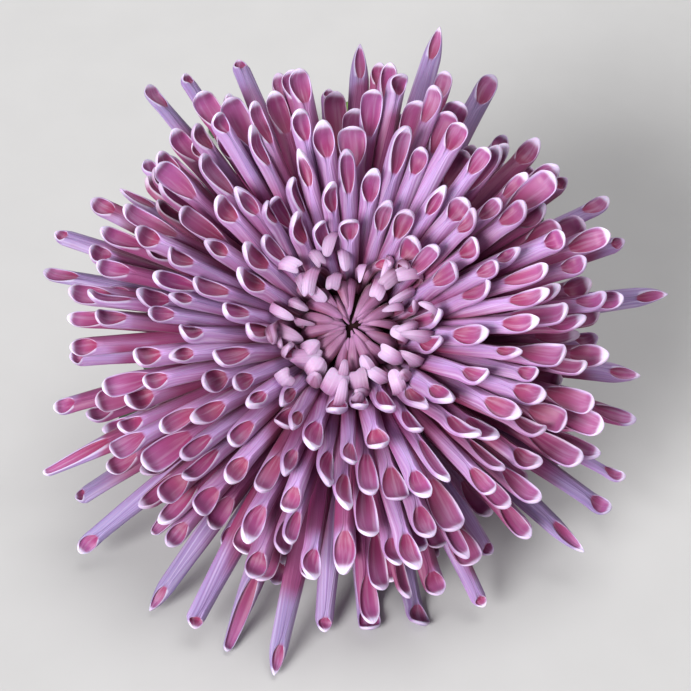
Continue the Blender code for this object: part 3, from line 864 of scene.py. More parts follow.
def petal_material(name, body, root, rim, rose, orchid, pale, underside_shade_at_tip=0.3):
    """Petal: grooved quill with painted shade at root, sides and where covered; deep mouth; pale lip,
    partly painted highlight.
    """
    look = Shading(name, roughness=0.5, subsurface=0.25, specular=0.35)
    look.shader.inputs["Subsurface Radius"].default_value = (1.0, 0.35, 0.6)
    look.shader.inputs["Subsurface Scale"].default_value = 1.2 * MM
    look.shader.inputs["Sheen Weight"].default_value = 0.12
    look.shader.inputs["Sheen Roughness"].default_value = 0.4
    hollow, edge, tip = look.attribute("hollow"), look.attribute("edge"), look.attribute("tip")
    along, reach = look.attribute("along"), look.attribute("reach")
    tone, outer = look.attribute("tone"), look.attribute("outer")
    u, v = look.map_parts("round")
    apart = look.times(tone, TONE_SPREAD)
    lines = look.vector(look.times(u, STREAKS_ACROSS), look.times(v, STREAKS_ALONG), apart)
    streaks = look.noise(lines, scale=1.0)
    grooves = look.math("SINE", look.times(u, FULL_TURN * GROOVES))
    # Painted shade: each quill darkens towards the root colour on its underside and sides, most near its
    # root
    under = look.range(look.math("ABSOLUTE", look.math("SUBTRACT", u, 0.5)), *UNDERSIDE_SHADE_SPAN)
    deep = look.times(under, look.range(along, *UNDERSIDE_SHADE_FADE, to_low=1.0, to_high=underside_shade_at_tip))
    # Near its root a quill keeps the root colour: painted shade deep in the bloom
    clear_of_root_shade = look.times(look.range(along, *ROOT_SHADE_SPAN), look.math("SUBTRACT", 1.0, deep))
    quill = look.mix(clear_of_root_shade, root, body)
    # The outer quills turn bluer and darker: partly their own colour, partly painted shade
    quill = look.mix(look.times(outer, look.range(along, *RIM_COLOUR_AND_SHADE_SPAN)), quill, rim)
    quill = look.mix(look.range(streaks, 0.4, 0.8, to_high=0.34), quill, pale)
    quill = look.mix(look.range(grooves, 0.2, 1.0, to_high=0.12), quill, root)
    mouth = look.mix(look.range(reach, *ORCHID_CHANGE), rose, orchid)
    mouth = look.mix(look.range(streaks, 0.42, 0.75, to_high=0.2), mouth, pale)
    petal = look.mix(look.range(hollow, *MOUTH_CHANGE), quill, mouth)
    # Painted shade where other petals cover a petal, half as strong inside its mouth
    covered_shade = look.range(look.attribute("depth"), *COVERED_SHADE_SPAN, to_high=0.85)
    covered_shade = look.times(covered_shade, look.range(hollow, *MOUTH_CHANGE, to_low=1.0, to_high=0.5))
    petal = look.mix(covered_shade, petal, root)
    # Pale lips, mouth edges and floret tips: partly their own paler colour, partly painted highlight
    whiteness = look.spread(tone, least=0.55, width=0.4)
    pale_tip_and_highlight = look.times(look.range(tip, 0.1, 0.9), whiteness)
    pale_edge_and_highlight = look.math("MAXIMUM", look.range(edge, 0.5, 1.0, to_high=0.5), pale_tip_and_highlight)
    petal = look.mix(pale_edge_and_highlight, petal, pale)
    value = look.spread(tone, least=0.87, width=0.26)
    hue = look.spread(look.math("FRACT", apart), least=0.488, width=0.024)
    look.colour(look.tint(petal, value, hue))
    look.roughness(look.range(streaks, 0.2, 0.8, to_low=0.42, to_high=0.6))
    relief = look.math("ADD", look.times(grooves, 0.35), streaks)
    look.bump(relief, strength=0.35, depth=0.12 * MM)
    return look.material


def ring_points(half, high, rim_angle, sink, raised):
    """The ring of one section, as across and up: under the quill from rim to rim, then over it.

    With sink at nought the ring closes over the top. At one it dips to the floor of the mouth.
    """
    points = []
    for number in range(OUTSIDE_POINTS):
        angle = (number - BOTTOM_POINT) / BOTTOM_POINT * rim_angle
        ridge = 1.0 + RIDGE * (-1) ** number
        points.append((ridge * half * math.sin(angle), raised - ridge * high * math.cos(angle)))
    for share in MOUTH_SHARES:
        over = math.pi - share * (math.pi - rim_angle)
        inside = share * rim_angle
        closed = (half * math.sin(over), raised - high * math.cos(over))
        floor = (
            (half - PETAL_WALL) * math.sin(inside),
            raised - (high - PETAL_WALL) * math.cos(inside),
        )
        points.append(tuple((1.0 - sink) * a + sink * b for a, b in zip(closed, floor)))
    return points


def model_petal(kind, quill_width, quill_height, spoon_width, material):
    """One quill with its mouth, drawn out along Y, its tip at the origin and its mouth up."""
    mouth = kind["mouth"]
    half, high = 0.5 * quill_width, 0.5 * quill_height
    spoon = 0.5 * spoon_width * kind["spread"]
    sections, hollows, edges, tips, reaches = [], [], [], [], []
    for share, wide, tall in QUILL_RINGS:
        ring = ring_points(wide * half, tall * high, CLOSED_ANGLE, 0.0, 0.0)
        sections.append([(x, (share - 1.0) * QUILL_SPAN - mouth, z) for x, z in ring])
        for rows in (hollows, edges, tips, reaches):
            rows.append(0.0)
    for place, spread, closing, tall, gape, sink, raised, tip in MOUTH_RINGS:
        share = place * kind["open"]
        if place >= 1.0:
            share = kind["open"] + (place - 1.0) * (1.0 - kind["open"])
        rim_angle = math.pi - gape * (math.pi - math.radians(kind["gape"]))
        narrowed = closing * (1.0 - kind["point"] * share ** 2)
        lift = raised * high * 2.0 * kind["lip"]
        wide = narrowed * (half + spread * (spoon - half))
        ring = ring_points(wide, tall * high, rim_angle, sink, lift)
        sections.append([(x, (share - 1.0) * mouth, z) for x, z in ring])
        hollows.append(1.0 if sink > 0.5 else 0.0)
        edges.append(1.0 if sink > 0.0 else 0.0)
        tips.append(tip)
        reaches.append(share)
    petal, ring, place = draw_out("petal", sections, seam=BOTTOM_POINT)
    beside_rim = (place == 0) | (place >= OUTSIDE_POINTS - 1)
    inner = (place > OUTSIDE_POINTS) & (place < RING - 1)
    within = np.array(hollows)[ring] * inner
    beneath = (place < OUTSIDE_POINTS) * (1.0 - abs(place - BOTTOM_POINT) / BOTTOM_POINT)
    # The lip is less pale underneath and inside the mouth: painted shade
    lip_shaded_beneath = 1.0 - UNDERSIDE_LIP_SHADE * beneath
    mark(
        petal,
        hollow=within,
        edge=np.array(edges)[ring] * (beside_rim & ~inner),
        tip=np.array(tips)[ring] * (1.0 - MOUTH_LIP_SHADE * within) * lip_shaded_beneath,
        reach=np.array(reaches)[ring],
    )
    petal.data.materials.append(material)
    subdivide(petal)
    return petal


def copy_mesh(master):
    """A copy of a piece with its own mesh."""
    piece = master.copy()
    piece.data = master.data.copy()
    bpy.context.scene.collection.objects.link(piece)
    return piece


def copy_along(
    master, kind, line, wide=1.0, flat=1.0, taper=0.0, long_mouth=1.0, canopy=None, **marks
):
    """A copy of a quill, laid along its middle line. Its mouth keeps its own length."""
    petal = copy_mesh(master)
    across, back, up = read_points(petal.data).T
    mouth = kind["mouth"]
    shrink = min(long_mouth, LONGEST_MOUTH * line.length / mouth)
    quill = line.length - shrink * mouth
    on_quill = np.clip((back + mouth) / QUILL_SPAN, -1.0, 0.0)
    along = np.where(back < -mouth, quill * (1.0 + on_quill), quill + shrink * (back + mouth))
    narrowed = wide * (1.0 - taper * smooth_step(along / line.length, TAPER_START, 1.0))
    points = line.lay(along, narrowed * across, flat * narrowed * up)
    write_points(petal.data, bloom_to_frame(points))
    # The depth inside the petals feeds the painted shade where petals cover one another
    mark(petal, along=along / line.length, depth=canopy.depth(points) if canopy else 0.0, **marks)
    return petal


def petal_plan(extra):
    """Where each ray petal goes, from the heart outwards, with its own small chances."""
    petals = []
    for index in range(PETALS):
        share = (index + 0.5) / PETALS
        petals.append(petal_at(random.Random(LATTICE_SEED + index), share, index * GOLDEN_ANGLE))
    claim_rim_petals(petals)
    for index in range(extra):
        share = EXTRA_START + EXTRA_SPAN * (index + 0.5) / extra
        petal = petal_at(random.Random(EXTRA_SEED + index), share, (index + 0.5) * GOLDEN_ANGLE)
        petal["reach"] = min(petal["reach"], EXTRA_REACH)
        petals.append(petal)
    for number, petal in enumerate(petals):
        chance = random.Random(KIND_SEED + number)
        petal["kind"] = choose_kind(petal, chance)
        if not petal["rim"]:
            petal["reach"] += chance.uniform(-EXTRA_SCATTER, EXTRA_SCATTER)
            petal["sway"] += chance.uniform(-EXTRA_SWAY, EXTRA_SWAY)
        if petal["share"] > PARTING_START and not petal["rim"]:
            turn, back = parting_at(petal["azimuth"])
            petal["sway"] += turn
            share = np.array(petal["share"])
            petal["reach"] -= back * float(smooth_step(share, PARTING_START, PARTING_FULL))
    ease_apart(petals)
    return petals


def parting_at(azimuth):
    """How far a tip at this clock angle turns away from the partings, and how far it draws back."""
    turn, back = 0.0, 0.0
    for angle, depth in PARTINGS:
        apart = (azimuth - math.radians(angle) + math.pi) % FULL_TURN - math.pi
        near = math.exp(-(apart / PARTING_WIDTH) ** 2)
        turn += math.copysign(PARTING_TURN, apart) * near
        back += depth * near
    return turn, back


def petal_at(chance, share, azimuth):
    """A ray petal at this share of the lattice and this clock angle."""
    inner, outer = math.cos(ROOT_POLAR_INNER), math.cos(ROOT_POLAR_OUTER)
    angle = TIP_ANGLE_INNER + (TIP_ANGLE_OUTER - TIP_ANGLE_INNER) * share ** TIP_SPACING
    reach = DOME_REACH + DOME_HALF_WIDTH * math.sin(angle)
    rise = DOME_RISE + DOME_HALF_HEIGHT * math.cos(angle)
    mouth_turn = MOUTH_TURN * math.sin(azimuth - MOUTHS_FACE)
    return {
        "share": share,
        "rim": False,
        "root_polar": math.acos(inner + (outer - inner) * share),
        "azimuth": azimuth % FULL_TURN,
        "reach": reach + chance.uniform(-TIP_SCATTER, TIP_SCATTER),
        "rise": rise + chance.uniform(-RISE_SCATTER, RISE_SCATTER),
        "sway": math.radians(chance.uniform(-TIP_SWAY, TIP_SWAY)),
        "roll": math.radians(chance.gauss(0.0, ROLL_SCATTER)) + mouth_turn,
        "mouth": chance.uniform(*MOUTH_LENGTHS),
        "spoon": chance.uniform(*SPOON_WIDTHS),
        "tone": chance.random(),
        "curl": chance.uniform(0.0, TIP_CURL),
        "shift": np.zeros(3),
    }


def claim_rim_petals(petals):
    """Moves the nearest outer petals to the rim's own list, and keeps the rest behind it."""
    free = petals[-len(RIM_PETALS) - SPARE_RIM_PETALS:]
    for angle, reach in RIM_PETALS:
        azimuth = math.radians(angle)
        nearest = min(free, key=lambda petal: turn_between(petal["azimuth"], azimuth))
        free.remove(nearest)
        nearest["rim"] = True
        nearest["azimuth"] = azimuth
        nearest["sway"] = 0.0
        nearest["spoon"] *= RIM_WIDTH
        nearest["reach"] = float(reach)
        nearest["rise"] = min(nearest["rise"], RIM_RISE)
    for petal in free:
        petal["reach"] = min(petal["reach"], BEHIND_RIM)


def choose_kind(petal, chance):
    """The name of a petal's kind, drawn by the weights of its whorl."""
    weights = RIM_KINDS
    if not petal["rim"]:
        weights = [kinds for start, kinds in WHORL_KINDS if petal["share"] >= start][-1]
    return chance.choices(list(weights), list(weights.values()))[0]


def petal_leads(petal):
    """The four points that lead a ray petal: steep out of the receptacle, then leaning outwards."""
    azimuth = petal["azimuth"]
    tip_azimuth = azimuth + petal["sway"]
    root = ROOT_DEPTH * CORE_RADIUS * polar_direction(petal["root_polar"], azimuth)
    tip = np.array((
        petal["reach"] * math.cos(tip_azimuth),
        petal["reach"] * math.sin(tip_azimuth),
        petal["rise"],
    ))
    chord = tip - root
    slope = math.atan2(math.hypot(chord[0], chord[1]), chord[2])
    third = np.linalg.norm(chord) / 3.0
    first = root + third * polar_direction(slope - PETAL_BEND, azimuth)
    second = tip - third * polar_direction(slope + TIP_BEND, tip_azimuth)
    return root, first, second + SHOULDER_SHIFT * petal["shift"], tip + petal["shift"]


def ease_apart(petals):
    """Shifts the tips of crowded petals a little, so that they lie side by side."""
    shares = np.array(EASE_SHARES)
    weights = shares ** EASE_POWER
    middles = np.array([bezier(petal_leads(petal), shares) for petal in petals])
    limits = np.array([
        EASE_LIMIT_AT_RIM * EASE_LIMIT if petal["rim"] else EASE_LIMIT for petal in petals
    ])
    spreads = np.array([PETAL_KINDS[petal["kind"]]["spread"] * petal["spoon"] for petal in petals])
    radii = np.array(EASE_RADII)[None, :] * (1.0 + (spreads[:, None] - 1.0) * (shares > SPOON_FROM))
    shifts = np.zeros((len(petals), 3))
    owner = np.repeat(np.arange(len(petals)), len(shares))
    radius = radii.ravel()
    clear = radius[:, None] + radius[None, :]
    apart = owner[:, None] != owner[None, :]
    for _ in range(EASE_ROUNDS):
        points = (middles + weights[None, :, None] * shifts[:, None, :]).reshape(-1, 3)
        between = points[:, None, :] - points[None, :, :]
        distance = np.sqrt((between ** 2).sum(axis=2)) + TINY
        overlap = np.where(apart, np.maximum(clear - distance, 0.0), 0.0)
        push = (between / distance[:, :, None] * overlap[:, :, None]).sum(axis=1)
        push = push.reshape(len(petals), len(shares), 3) * weights[None, :, None]
        shifts = EASE_KEPT * (shifts + EASE_STEP * push.sum(axis=1))
        size = np.linalg.norm(shifts, axis=1)
        shifts *= np.minimum(1.0, limits / np.maximum(size, TINY))[:, None]
    for petal, shift in zip(petals, shifts):
        petal["shift"] = shift


class FLOWER_OT_ray_petals(bpy.types.Operator):
    """Model the ray petals in three whorls and the receptacle under them"""

    bl_idname = "flower.ray_petals"
    bl_label = "Ray Petals"

    def execute(self, context):
        settings = context.scene.flower_petals
        material = petal_material(
            "petal lilac", settings.body, settings.root, settings.rim, settings.rose,
            settings.orchid, settings.pale,
        )
        sizes = (settings.quill_width / MM, settings.quill_height / MM, settings.spoon_width / MM)
        petals = petal_plan(settings.extra)
        masters = {
            name: model_petal(PETAL_KINDS[name], *sizes, material)
            for name in sorted({petal["kind"] for petal in petals})
        }
        lines = [
            MiddleLine(petal_leads(petal), petal["azimuth"], petal["roll"], lies=True, curl=petal["curl"])
            for petal in petals
        ]
        canopy = Canopy(lines)
        whorls = {"whorl_inner": [], "whorl_middle": [], "whorl_outer": []}
        for petal, line in zip(petals, lines):
            share = petal["share"]
            whorl = "whorl_outer"
            if share < OUTER_WHORL:
                whorl = "whorl_inner" if share < MIDDLE_WHORL else "whorl_middle"
            outer = float(smooth_step(np.array(petal["reach"]), *RIM_COLOUR_AND_SHADE_REACH))
            whorls[whorl].append(copy_along(
                masters[petal["kind"]], PETAL_KINDS[petal["kind"]], line, petal["spoon"],
                flat=RIM_FLATNESS if petal["rim"] else 1.0, taper=RIM_TAPER if petal["rim"] else 0.0,
                long_mouth=petal["mouth"], canopy=canopy, tone=petal["tone"], outer=outer,
            ))
        whorls["whorl_middle"].insert(0, model_receptacle(material))
        for name, pieces in whorls.items():
            join_pieces(name, pieces, "ray_petal", "ray_petals")
        for master in masters.values():
            remove_piece(master)
        return {"FINISHED"}


def model_receptacle(material):
    """The domed end of the stem that the petals grow from."""
    bpy.ops.object.select_all(action="DESELECT")
    bpy.ops.mesh.primitive_uv_sphere_add(
        segments=32, ring_count=16, radius=CORE_RADIUS * MM, calc_uvs=False,
    )
    core = bpy.context.object
    points = read_points(core.data)
    points[:, 2] = np.clip(points[:, 2], CORE_BOTTOM, CORE_TOP)
    write_points(core.data, bloom_to_frame(points))
    core.data.uv_layers.new(name="round")
    # With along and its map at nought, the receptacle takes the root colour all over: painted shade under
    # the petals
    mark(core, hollow=0.0, edge=0.0, tip=0.0, reach=0.0, along=0.0, outer=0.0, tone=0.0, depth=0.0)
    core.data.materials.append(material)
    bpy.ops.object.shade_smooth()
    return core


def in_plane(profile, azimuth, swing=0.0):
    """Four leads given as (radius, height), set at this clock angle, the last one swung aside."""
    turns = (azimuth, azimuth, azimuth + LEAN_SWING * swing, azimuth + swing)
    return [
        (radius * math.cos(turn), radius * math.sin(turn), height)
        for (radius, height), turn in zip(profile, turns)
    ]


def claw_plan():
    """Where each claw stands and how far it folds over, its head eased away from the others."""
    claws = []
    for row, (count, reach, top, foot, fold) in enumerate(CLAW_ROWS):
        for number in range(count):
            chance = random.Random(CLAW_SEED + ROW_SEEDS * row + number)
            is_open = row < OPEN_ROWS and chance.random() < OPEN_CLAWS
            place = number + 0.5 * row + chance.uniform(-CLAW_TURN, CLAW_TURN)
            claws.append({
                "chance": chance,
                "open": is_open,
                "azimuth": FULL_TURN * place / count,
                "head": reach + chance.uniform(-CLAW_STRAY, CLAW_STRAY),
                "high": top + chance.uniform(*CLAW_RISE),
                "foot": foot,
                "over": 0.0 if is_open else fold * chance.uniform(*CLAW_FOLD),
            })
    heads = np.array([
        (claw["head"] * math.cos(claw["azimuth"]), claw["head"] * math.sin(claw["azimuth"]))
        for claw in claws
    ])
    others = 1.0 - np.eye(len(claws))
    for _ in range(CLAW_ROUNDS):
        between = heads[:, None, :] - heads[None, :, :]
        distance = np.linalg.norm(between, axis=2) + TINY
        overlap = others * np.maximum(CLAW_SPACING - distance, 0.0)
        heads = heads + CLAW_STEP * (between * (overlap / distance)[:, :, None]).sum(axis=1)
        radius = np.linalg.norm(heads, axis=1)
        heads = heads * (np.clip(radius, *CLAW_REACH) / radius)[:, None]
    for claw, head in zip(claws, heads):
        claw["head"] = math.hypot(*head)
        claw["azimuth"] = math.atan2(head[1], head[0])
    return claws


def claw_line(claw):
    """The middle line of a claw, which stands up and folds inwards over the heart, unless open."""
    chance, azimuth = claw["chance"], claw["azimuth"]
    foot, high = claw["foot"], claw["high"]
    out = claw["head"] + 0.5 * claw["over"]
    rise = high - foot
    root = (0.45 * out, foot)
    if claw["open"]:
        shoulder = (0.9 * out, foot + 0.45 * rise)
        neck = (out - 0.4, high - 1.2)
        tip = (out + chance.uniform(-0.6, 1.6), high + 0.4)
    else:
        shoulder = (out + 0.8, foot + 0.3 * rise)
        neck = (out + 1.6, high + 2.2)
        tip = (out - claw["over"], high - 0.1 * claw["over"])
    leads = in_plane((root, shoulder, neck, tip), azimuth, chance.gauss(0.0, CLAW_SWING))
    return MiddleLine(leads, azimuth, chance.gauss(0.0, CLAW_ROLL))


def finger_lines():
    """The middle lines of the slim fingers that close over the centre, with their widths."""
    for row, (count, root, foot, bend, top, tip, width) in enumerate(FINGER_ROWS):
        for number in range(count):
            chance = random.Random(FINGER_SEED + ROW_SEEDS * row + number)
            place = number + FINGER_OFFSET * row + chance.uniform(-FINGER_TURN, FINGER_TURN)
            azimuth = FULL_TURN * place / count
            high = top + chance.uniform(*FINGER_RISE)
            close = tip + chance.uniform(*FINGER_GAP)
            belly = (root + 1.4, 0.5 * (foot + high))
            profile = ((root, foot), belly, (bend, high), (close, high - 2.2))
            leads = in_plane(profile, azimuth, chance.gauss(0.0, FINGER_SWING))
            line = MiddleLine(leads, azimuth, chance.gauss(0.0, FINGER_ROLL))
            yield line, width * chance.uniform(*FINGER_WIDTHS), chance


def model_floret(name, rings, material, levels=1, notch=0.0):
    """A closed floret along Y, of length one and width two, its back down and ridged.

    A notch draws the middle of its tip back by that share of its length.
    """
    sections = []
    for share, wide, tall in rings:
        turns = np.arange(FLORET_AROUND) * FULL_TURN / FLORET_AROUND
        ridge = 1.0 + FLORET_RIDGE * np.cos(FLORET_AROUND / 2 * turns)
        height = np.where(np.sin(turns) < 0.0, FLORET_BACK, FLORET_FRONT) * tall * ridge * np.sin(turns)
        across = wide * ridge * np.cos(turns)
        drawn_back = notch * smooth_step(np.full(FLORET_AROUND, share), *NOTCH_SPAN)
        along = share - drawn_back * (1.0 - smooth_step(abs(across), 0.0, NOTCH_HALF_WIDTH))
        sections.append(np.stack((across, along, height), axis=1))
    floret, ring, _ = draw_out(name, np.array(sections), seam=FLORET_AROUND // 4)
    shares = np.array([share for share, _, _ in rings])[ring]
    tips = smooth_step(shares, *PALE_SPAN)
    mark(floret, along=shares, tip=tips, hollow=0.0, edge=0.0, reach=0.0, depth=0.0)
    floret.data.materials.append(material)
    subdivide(floret, levels)
    return floret


def lay_floret(master, line, width, tall, **marks):
    """A copy of a floret, laid along its middle line at this width."""
    floret = copy_mesh(master)
    across, share, up = read_points(floret.data).T
    half = 0.5 * width
    points = line.lay(share * line.length, half * across, half * tall * up)
    write_points(floret.data, bloom_to_frame(points))
    mark(floret, **marks)
    return floret


class FLOWER_OT_heart(bpy.types.Operator):
    """Model the heart: the folded claws, the slim fingers and the mound under them"""

    bl_idname = "flower.heart"
    bl_label = "Heart"

    def execute(self, context):
        colours = context.scene.flower_heart
        # The claws and the fingers take the same painted shade on their sides, the fingers the most
        claw_look = petal_material(
            "claw lilac", colours.body, colours.root, colours.body, colours.root, colours.body,
            colours.pale, underside_shade_at_tip=0.6,
        )
        open_look = petal_material(
            "open claw lilac", colours.body, colours.root, colours.body, colours.rose, colours.rose,
            colours.pale, underside_shade_at_tip=0.6,
        )
        finger_look = petal_material(
            "finger mauve", colours.finger, colours.root, colours.finger, colours.root, colours.finger,
            colours.body, underside_shade_at_tip=0.95,
        )
        claws = [
            model_floret(name, rings, claw_look, levels=2, notch=CLAW_NOTCH if name == "notched" else 0.0)
            for name, rings in CLAW_SHAPES.items()
        ]
        finger = model_floret("finger", FINGER_RINGS, finger_look)
        open_claw = model_petal(PETAL_KINDS["claw"], *OPEN_CLAW_SIZES, open_look)
        pieces = []
        for claw in claw_plan():
            line, chance = claw_line(claw), claw["chance"]
            growth = CLAW_GROWTH * math.cos(claw["azimuth"] - LARGE_CLAWS_SIDE)
            wide = chance.uniform(*CLAW_WIDTHS) * (1.0 + growth)
            shape = chance.choice(claws)
            marks = {"tone": chance.random(), "outer": 0.0}
            if claw["open"]:
                pieces.append(copy_along(open_claw, PETAL_KINDS["claw"], line, wide, **marks))
            else:
                pieces.append(lay_floret(shape, line, wide * CLAW_WIDTH, CLAW_HEIGHT, **marks))
        for line, width, chance in finger_lines():
            marks = {"tone": chance.random(), "outer": 0.0}
            pieces.append(lay_floret(finger, line, width, FINGER_HEIGHT, **marks))
        join_pieces("heart", pieces, "heart_floret", "heart_florets")
        mound = model_mound(mound_material(colours.centre))
        join_pieces("heart_mound", [mound], "heart_floret", "heart_florets")
        for master in (*claws, open_claw, finger):
            remove_piece(master)
        return {"FINISHED"}


def model_mound(material):
    """The closed centre, near black partly as painted shade: a squashed ball with a dimple on top."""
    bpy.ops.object.select_all(action="DESELECT")
    bpy.ops.mesh.primitive_uv_sphere_add(segments=32, ring_count=20, radius=HEART_RADIUS * MM)
    mound = bpy.context.object
    points = read_points(mound.data)
    flat = np.hypot(points[:, 0], points[:, 1])
    points[:, 2] = HEART_CENTRE + points[:, 2] * HEART_HEIGHT / HEART_RADIUS
    dimple = DIMPLE_DEPTH * np.exp(-((flat / DIMPLE_WIDTH) ** 2))
    points[:, 2] -= dimple * (points[:, 2] > HEART_CENTRE)
    write_points(mound.data, bloom_to_frame(points))
    mound.data.materials.append(material)
    bpy.ops.object.shade_smooth()
    return mound


def mound_material(centre):
    """Dark packed buds, near black: partly their own dark colour, partly painted shade deep between the
    florets.
    """
    look = Shading("heart centre", roughness=0.9, specular=0.1)
    cells = look.noise(look.place(), scale=900.0)
    bud_tip = (0.02, 0.012, 0.008)
    look.colour(look.mix(look.range(cells, 0.4, 0.7), centre, bud_tip))
    look.bump(cells, strength=0.5, depth=0.4 * MM)
    return look.material


def green_material(name, body, second, share, roughness=0.55):
    """A plant green with fine mottling, turned towards a second colour by what share makes of it."""
    look = Shading(name, roughness=roughness, subsurface=0.05, specular=0.4)
    look.shader.inputs["Subsurface Scale"].default_value = MM
    mottle = look.noise(look.place(), scale=420.0)
    value = look.range(mottle, 0.25, 0.75, to_low=0.88, to_high=1.12)
    look.colour(look.tint(look.mix(share(look), body, second), value))
    look.roughness(look.range(mottle, 0.3, 0.7, to_low=roughness - 0.08, to_high=roughness + 0.1))
    look.bump(mottle, strength=0.3, depth=0.15 * MM)
    return look.material


class FLOWER_OT_involucre(bpy.types.Operator):
    """Model the green cup and its rows of bracts"""

    bl_idname = "flower.involucre"
    bl_label = "Involucre"

    def execute(self, context):
        colours = context.scene.flower_greens
        material = green_material(
            "bract green", colours.bract, colours.bract_edge,
            lambda look: look.range(look.attribute("edge"), 0.3, 1.0),
        )
        pieces = [model_cup(material)]
        master = model_bract(material)
        for row, (count, top, bottom, off) in enumerate(BRACT_ROWS):
            bulge = cup_radius(0.5 * (top + bottom))
            root = (cup_radius(bottom) - 0.7, bottom)
            belly = (bulge + 0.4, bottom + 0.35 * (top - bottom))
            shoulder = (bulge + 1.0, bottom + 0.65 * (top - bottom))
            profile = (root, belly, shoulder, (cup_radius(top) + off, top))
            for number in range(count):
                azimuth = FULL_TURN * (number + 0.5 * (row % 2)) / count
                pieces.append(lay_bract(master, MiddleLine(in_plane(profile, azimuth), azimuth)))
        join_pieces("bracts", pieces, "bract", "involucre")
        remove_piece(master)
        return {"FINISHED"}


def cup_radius(height):
    """The cup's outer radius at this height."""
    heights = [high for _, high in CUP_OUTLINE[1:]]
    radii = [radius for radius, _ in CUP_OUTLINE[1:]]
    return float(np.interp(height, heights[::-1], radii[::-1]))


def circle(radius, height, around):
    """A level ring of points."""
    turns = np.arange(around) * FULL_TURN / around
    return np.stack((radius * np.cos(turns), radius * np.sin(turns), np.full(around, height)), axis=1)


def model_cup(material):
    """The cup that the bracts grow from, drawn out ring by ring."""
    cup, _, _ = draw_out("cup", [circle(radius, height, CUP_AROUND) for radius, height in CUP_OUTLINE])
    mark(cup, edge=0.0)
    cup.data.materials.append(material)
    subdivide(cup)
    write_points(cup.data, bloom_to_frame(read_points(cup.data)))
    return cup


def model_bract(material):
    """One scale-like bract along Y, thin, keeled and pointed, of length one."""
    sections = []
    for share, half, thick in BRACT_RINGS:
        ring = []
        for number in range(BRACT_AROUND):
            turn = FULL_TURN * number / BRACT_AROUND
            across = half * math.cos(turn)
            ring.append((across, share, 0.5 * thick * math.sin(turn) - BRACT_KEEL * across * across))
        sections.append(ring)
    bract, _, place = draw_out("bract", sections)
    mark(bract, edge=((place == 0) | (place == BRACT_AROUND // 2)).astype(float))
    bract.data.materials.append(material)
    subdivide(bract)
    return bract


def lay_bract(master, line):
    """A copy of the bract with its own mesh, laid up the side of the cup, its back outwards."""
    bract = copy_mesh(master)
    across, share, up = read_points(bract.data).T
    write_points(bract.data, bloom_to_frame(line.lay(share * line.length, across, -up)))
    bract.data.flip_normals()
    return bract


def stem_route():
    """Points along the stem's middle: down from the cup on an arc, then flat on the surface."""
    backwards = np.array((0.0, math.cos(FACE_TILT), -math.sin(FACE_TILT)))
    start = np.array((0.0, 0.0, HEAD_HEIGHT)) + (JOINT_GAP - CUP_BOTTOM) * backwards
    bend = (start[2] - STEM_LIE) / (1.0 - math.cos(FACE_TILT))
    foot = start[1] + bend * math.sin(FACE_TILT)
    route = [start + share * backwards for share in STEM_IN_CUP]
    for number in range(NECK_STEPS + 1):
        angle = FACE_TILT * (1.0 - number / NECK_STEPS)
        route.append((0.0, foot - bend * math.sin(angle), STEM_LIE + bend * (1.0 - math.cos(angle))))
    for share in np.linspace(0.0, 1.0, STRAIGHT_STEPS + 1)[1:]:
        route.append((0.0, foot + share * (STEM_END - foot), STEM_LIE))
    return np.array(route)


class FLOWER_OT_stem(bpy.types.Operator):
    """Model the ribbed stem with its swollen leaf joints and its cut end"""

    bl_idname = "flower.stem"
    bl_label = "Stem"

    def execute(self, context):
        colours = context.scene.flower_greens
        material = green_material(
            "stem green", colours.stem, colours.stem_rib,
            lambda look: look.math("MAXIMUM", look.attribute("rib"), look.attribute("cut")),
        )
        route = stem_route()
        ahead = unit(np.gradient(route, axis=0))
        side = np.array((1.0, 0.0, 0.0))
        turns = np.arange(STEM_AROUND) * FULL_TURN / STEM_AROUND
        ribs = 0.5 + 0.5 * np.cos(STEM_RIBS * turns)
        sections = []
        for point, tangent in zip(route, ahead):
            swell = sum(
                JOINT_SWELL[1] * math.exp(-((point[1] - leads[0][1]) / JOINT_SPREAD) ** 2)
                for _, leads, _ in LEAVES
            )
            radius = (STEM_RADIUS - RIB_DEPTH + RIB_DEPTH * ribs) * (1.0 + JOINT_SWELL[0] * swell)
            beside = np.outer(radius * np.cos(turns), side)
            above = np.outer(radius * np.sin(turns), np.cross(side, tangent))
            sections.append(point + beside + above)
        end = sections[-1]
        for shrink, sink in CUT_RINGS:
            sections.append(route[-1] + shrink * (end - route[-1]) - np.array((0.0, sink, 0.0)))
        stem, ring, place = draw_out("stem", sections)
        mark(stem, rib=RIB_TINT * ribs[place], cut=(ring > len(route)) * 1.0)
        stem.data.materials.append(material)
        subdivide(stem)
        points = read_points(stem.data)
        points[:, 2] = np.maximum(points[:, 2], 0.0)
        write_points(stem.data, lying_to_frame(points))
        hairs = grow_hairs(route, ahead, material)
        join_pieces("stem_ribbed", [stem, *hairs], "stem", "stem")
        return {"FINISHED"}


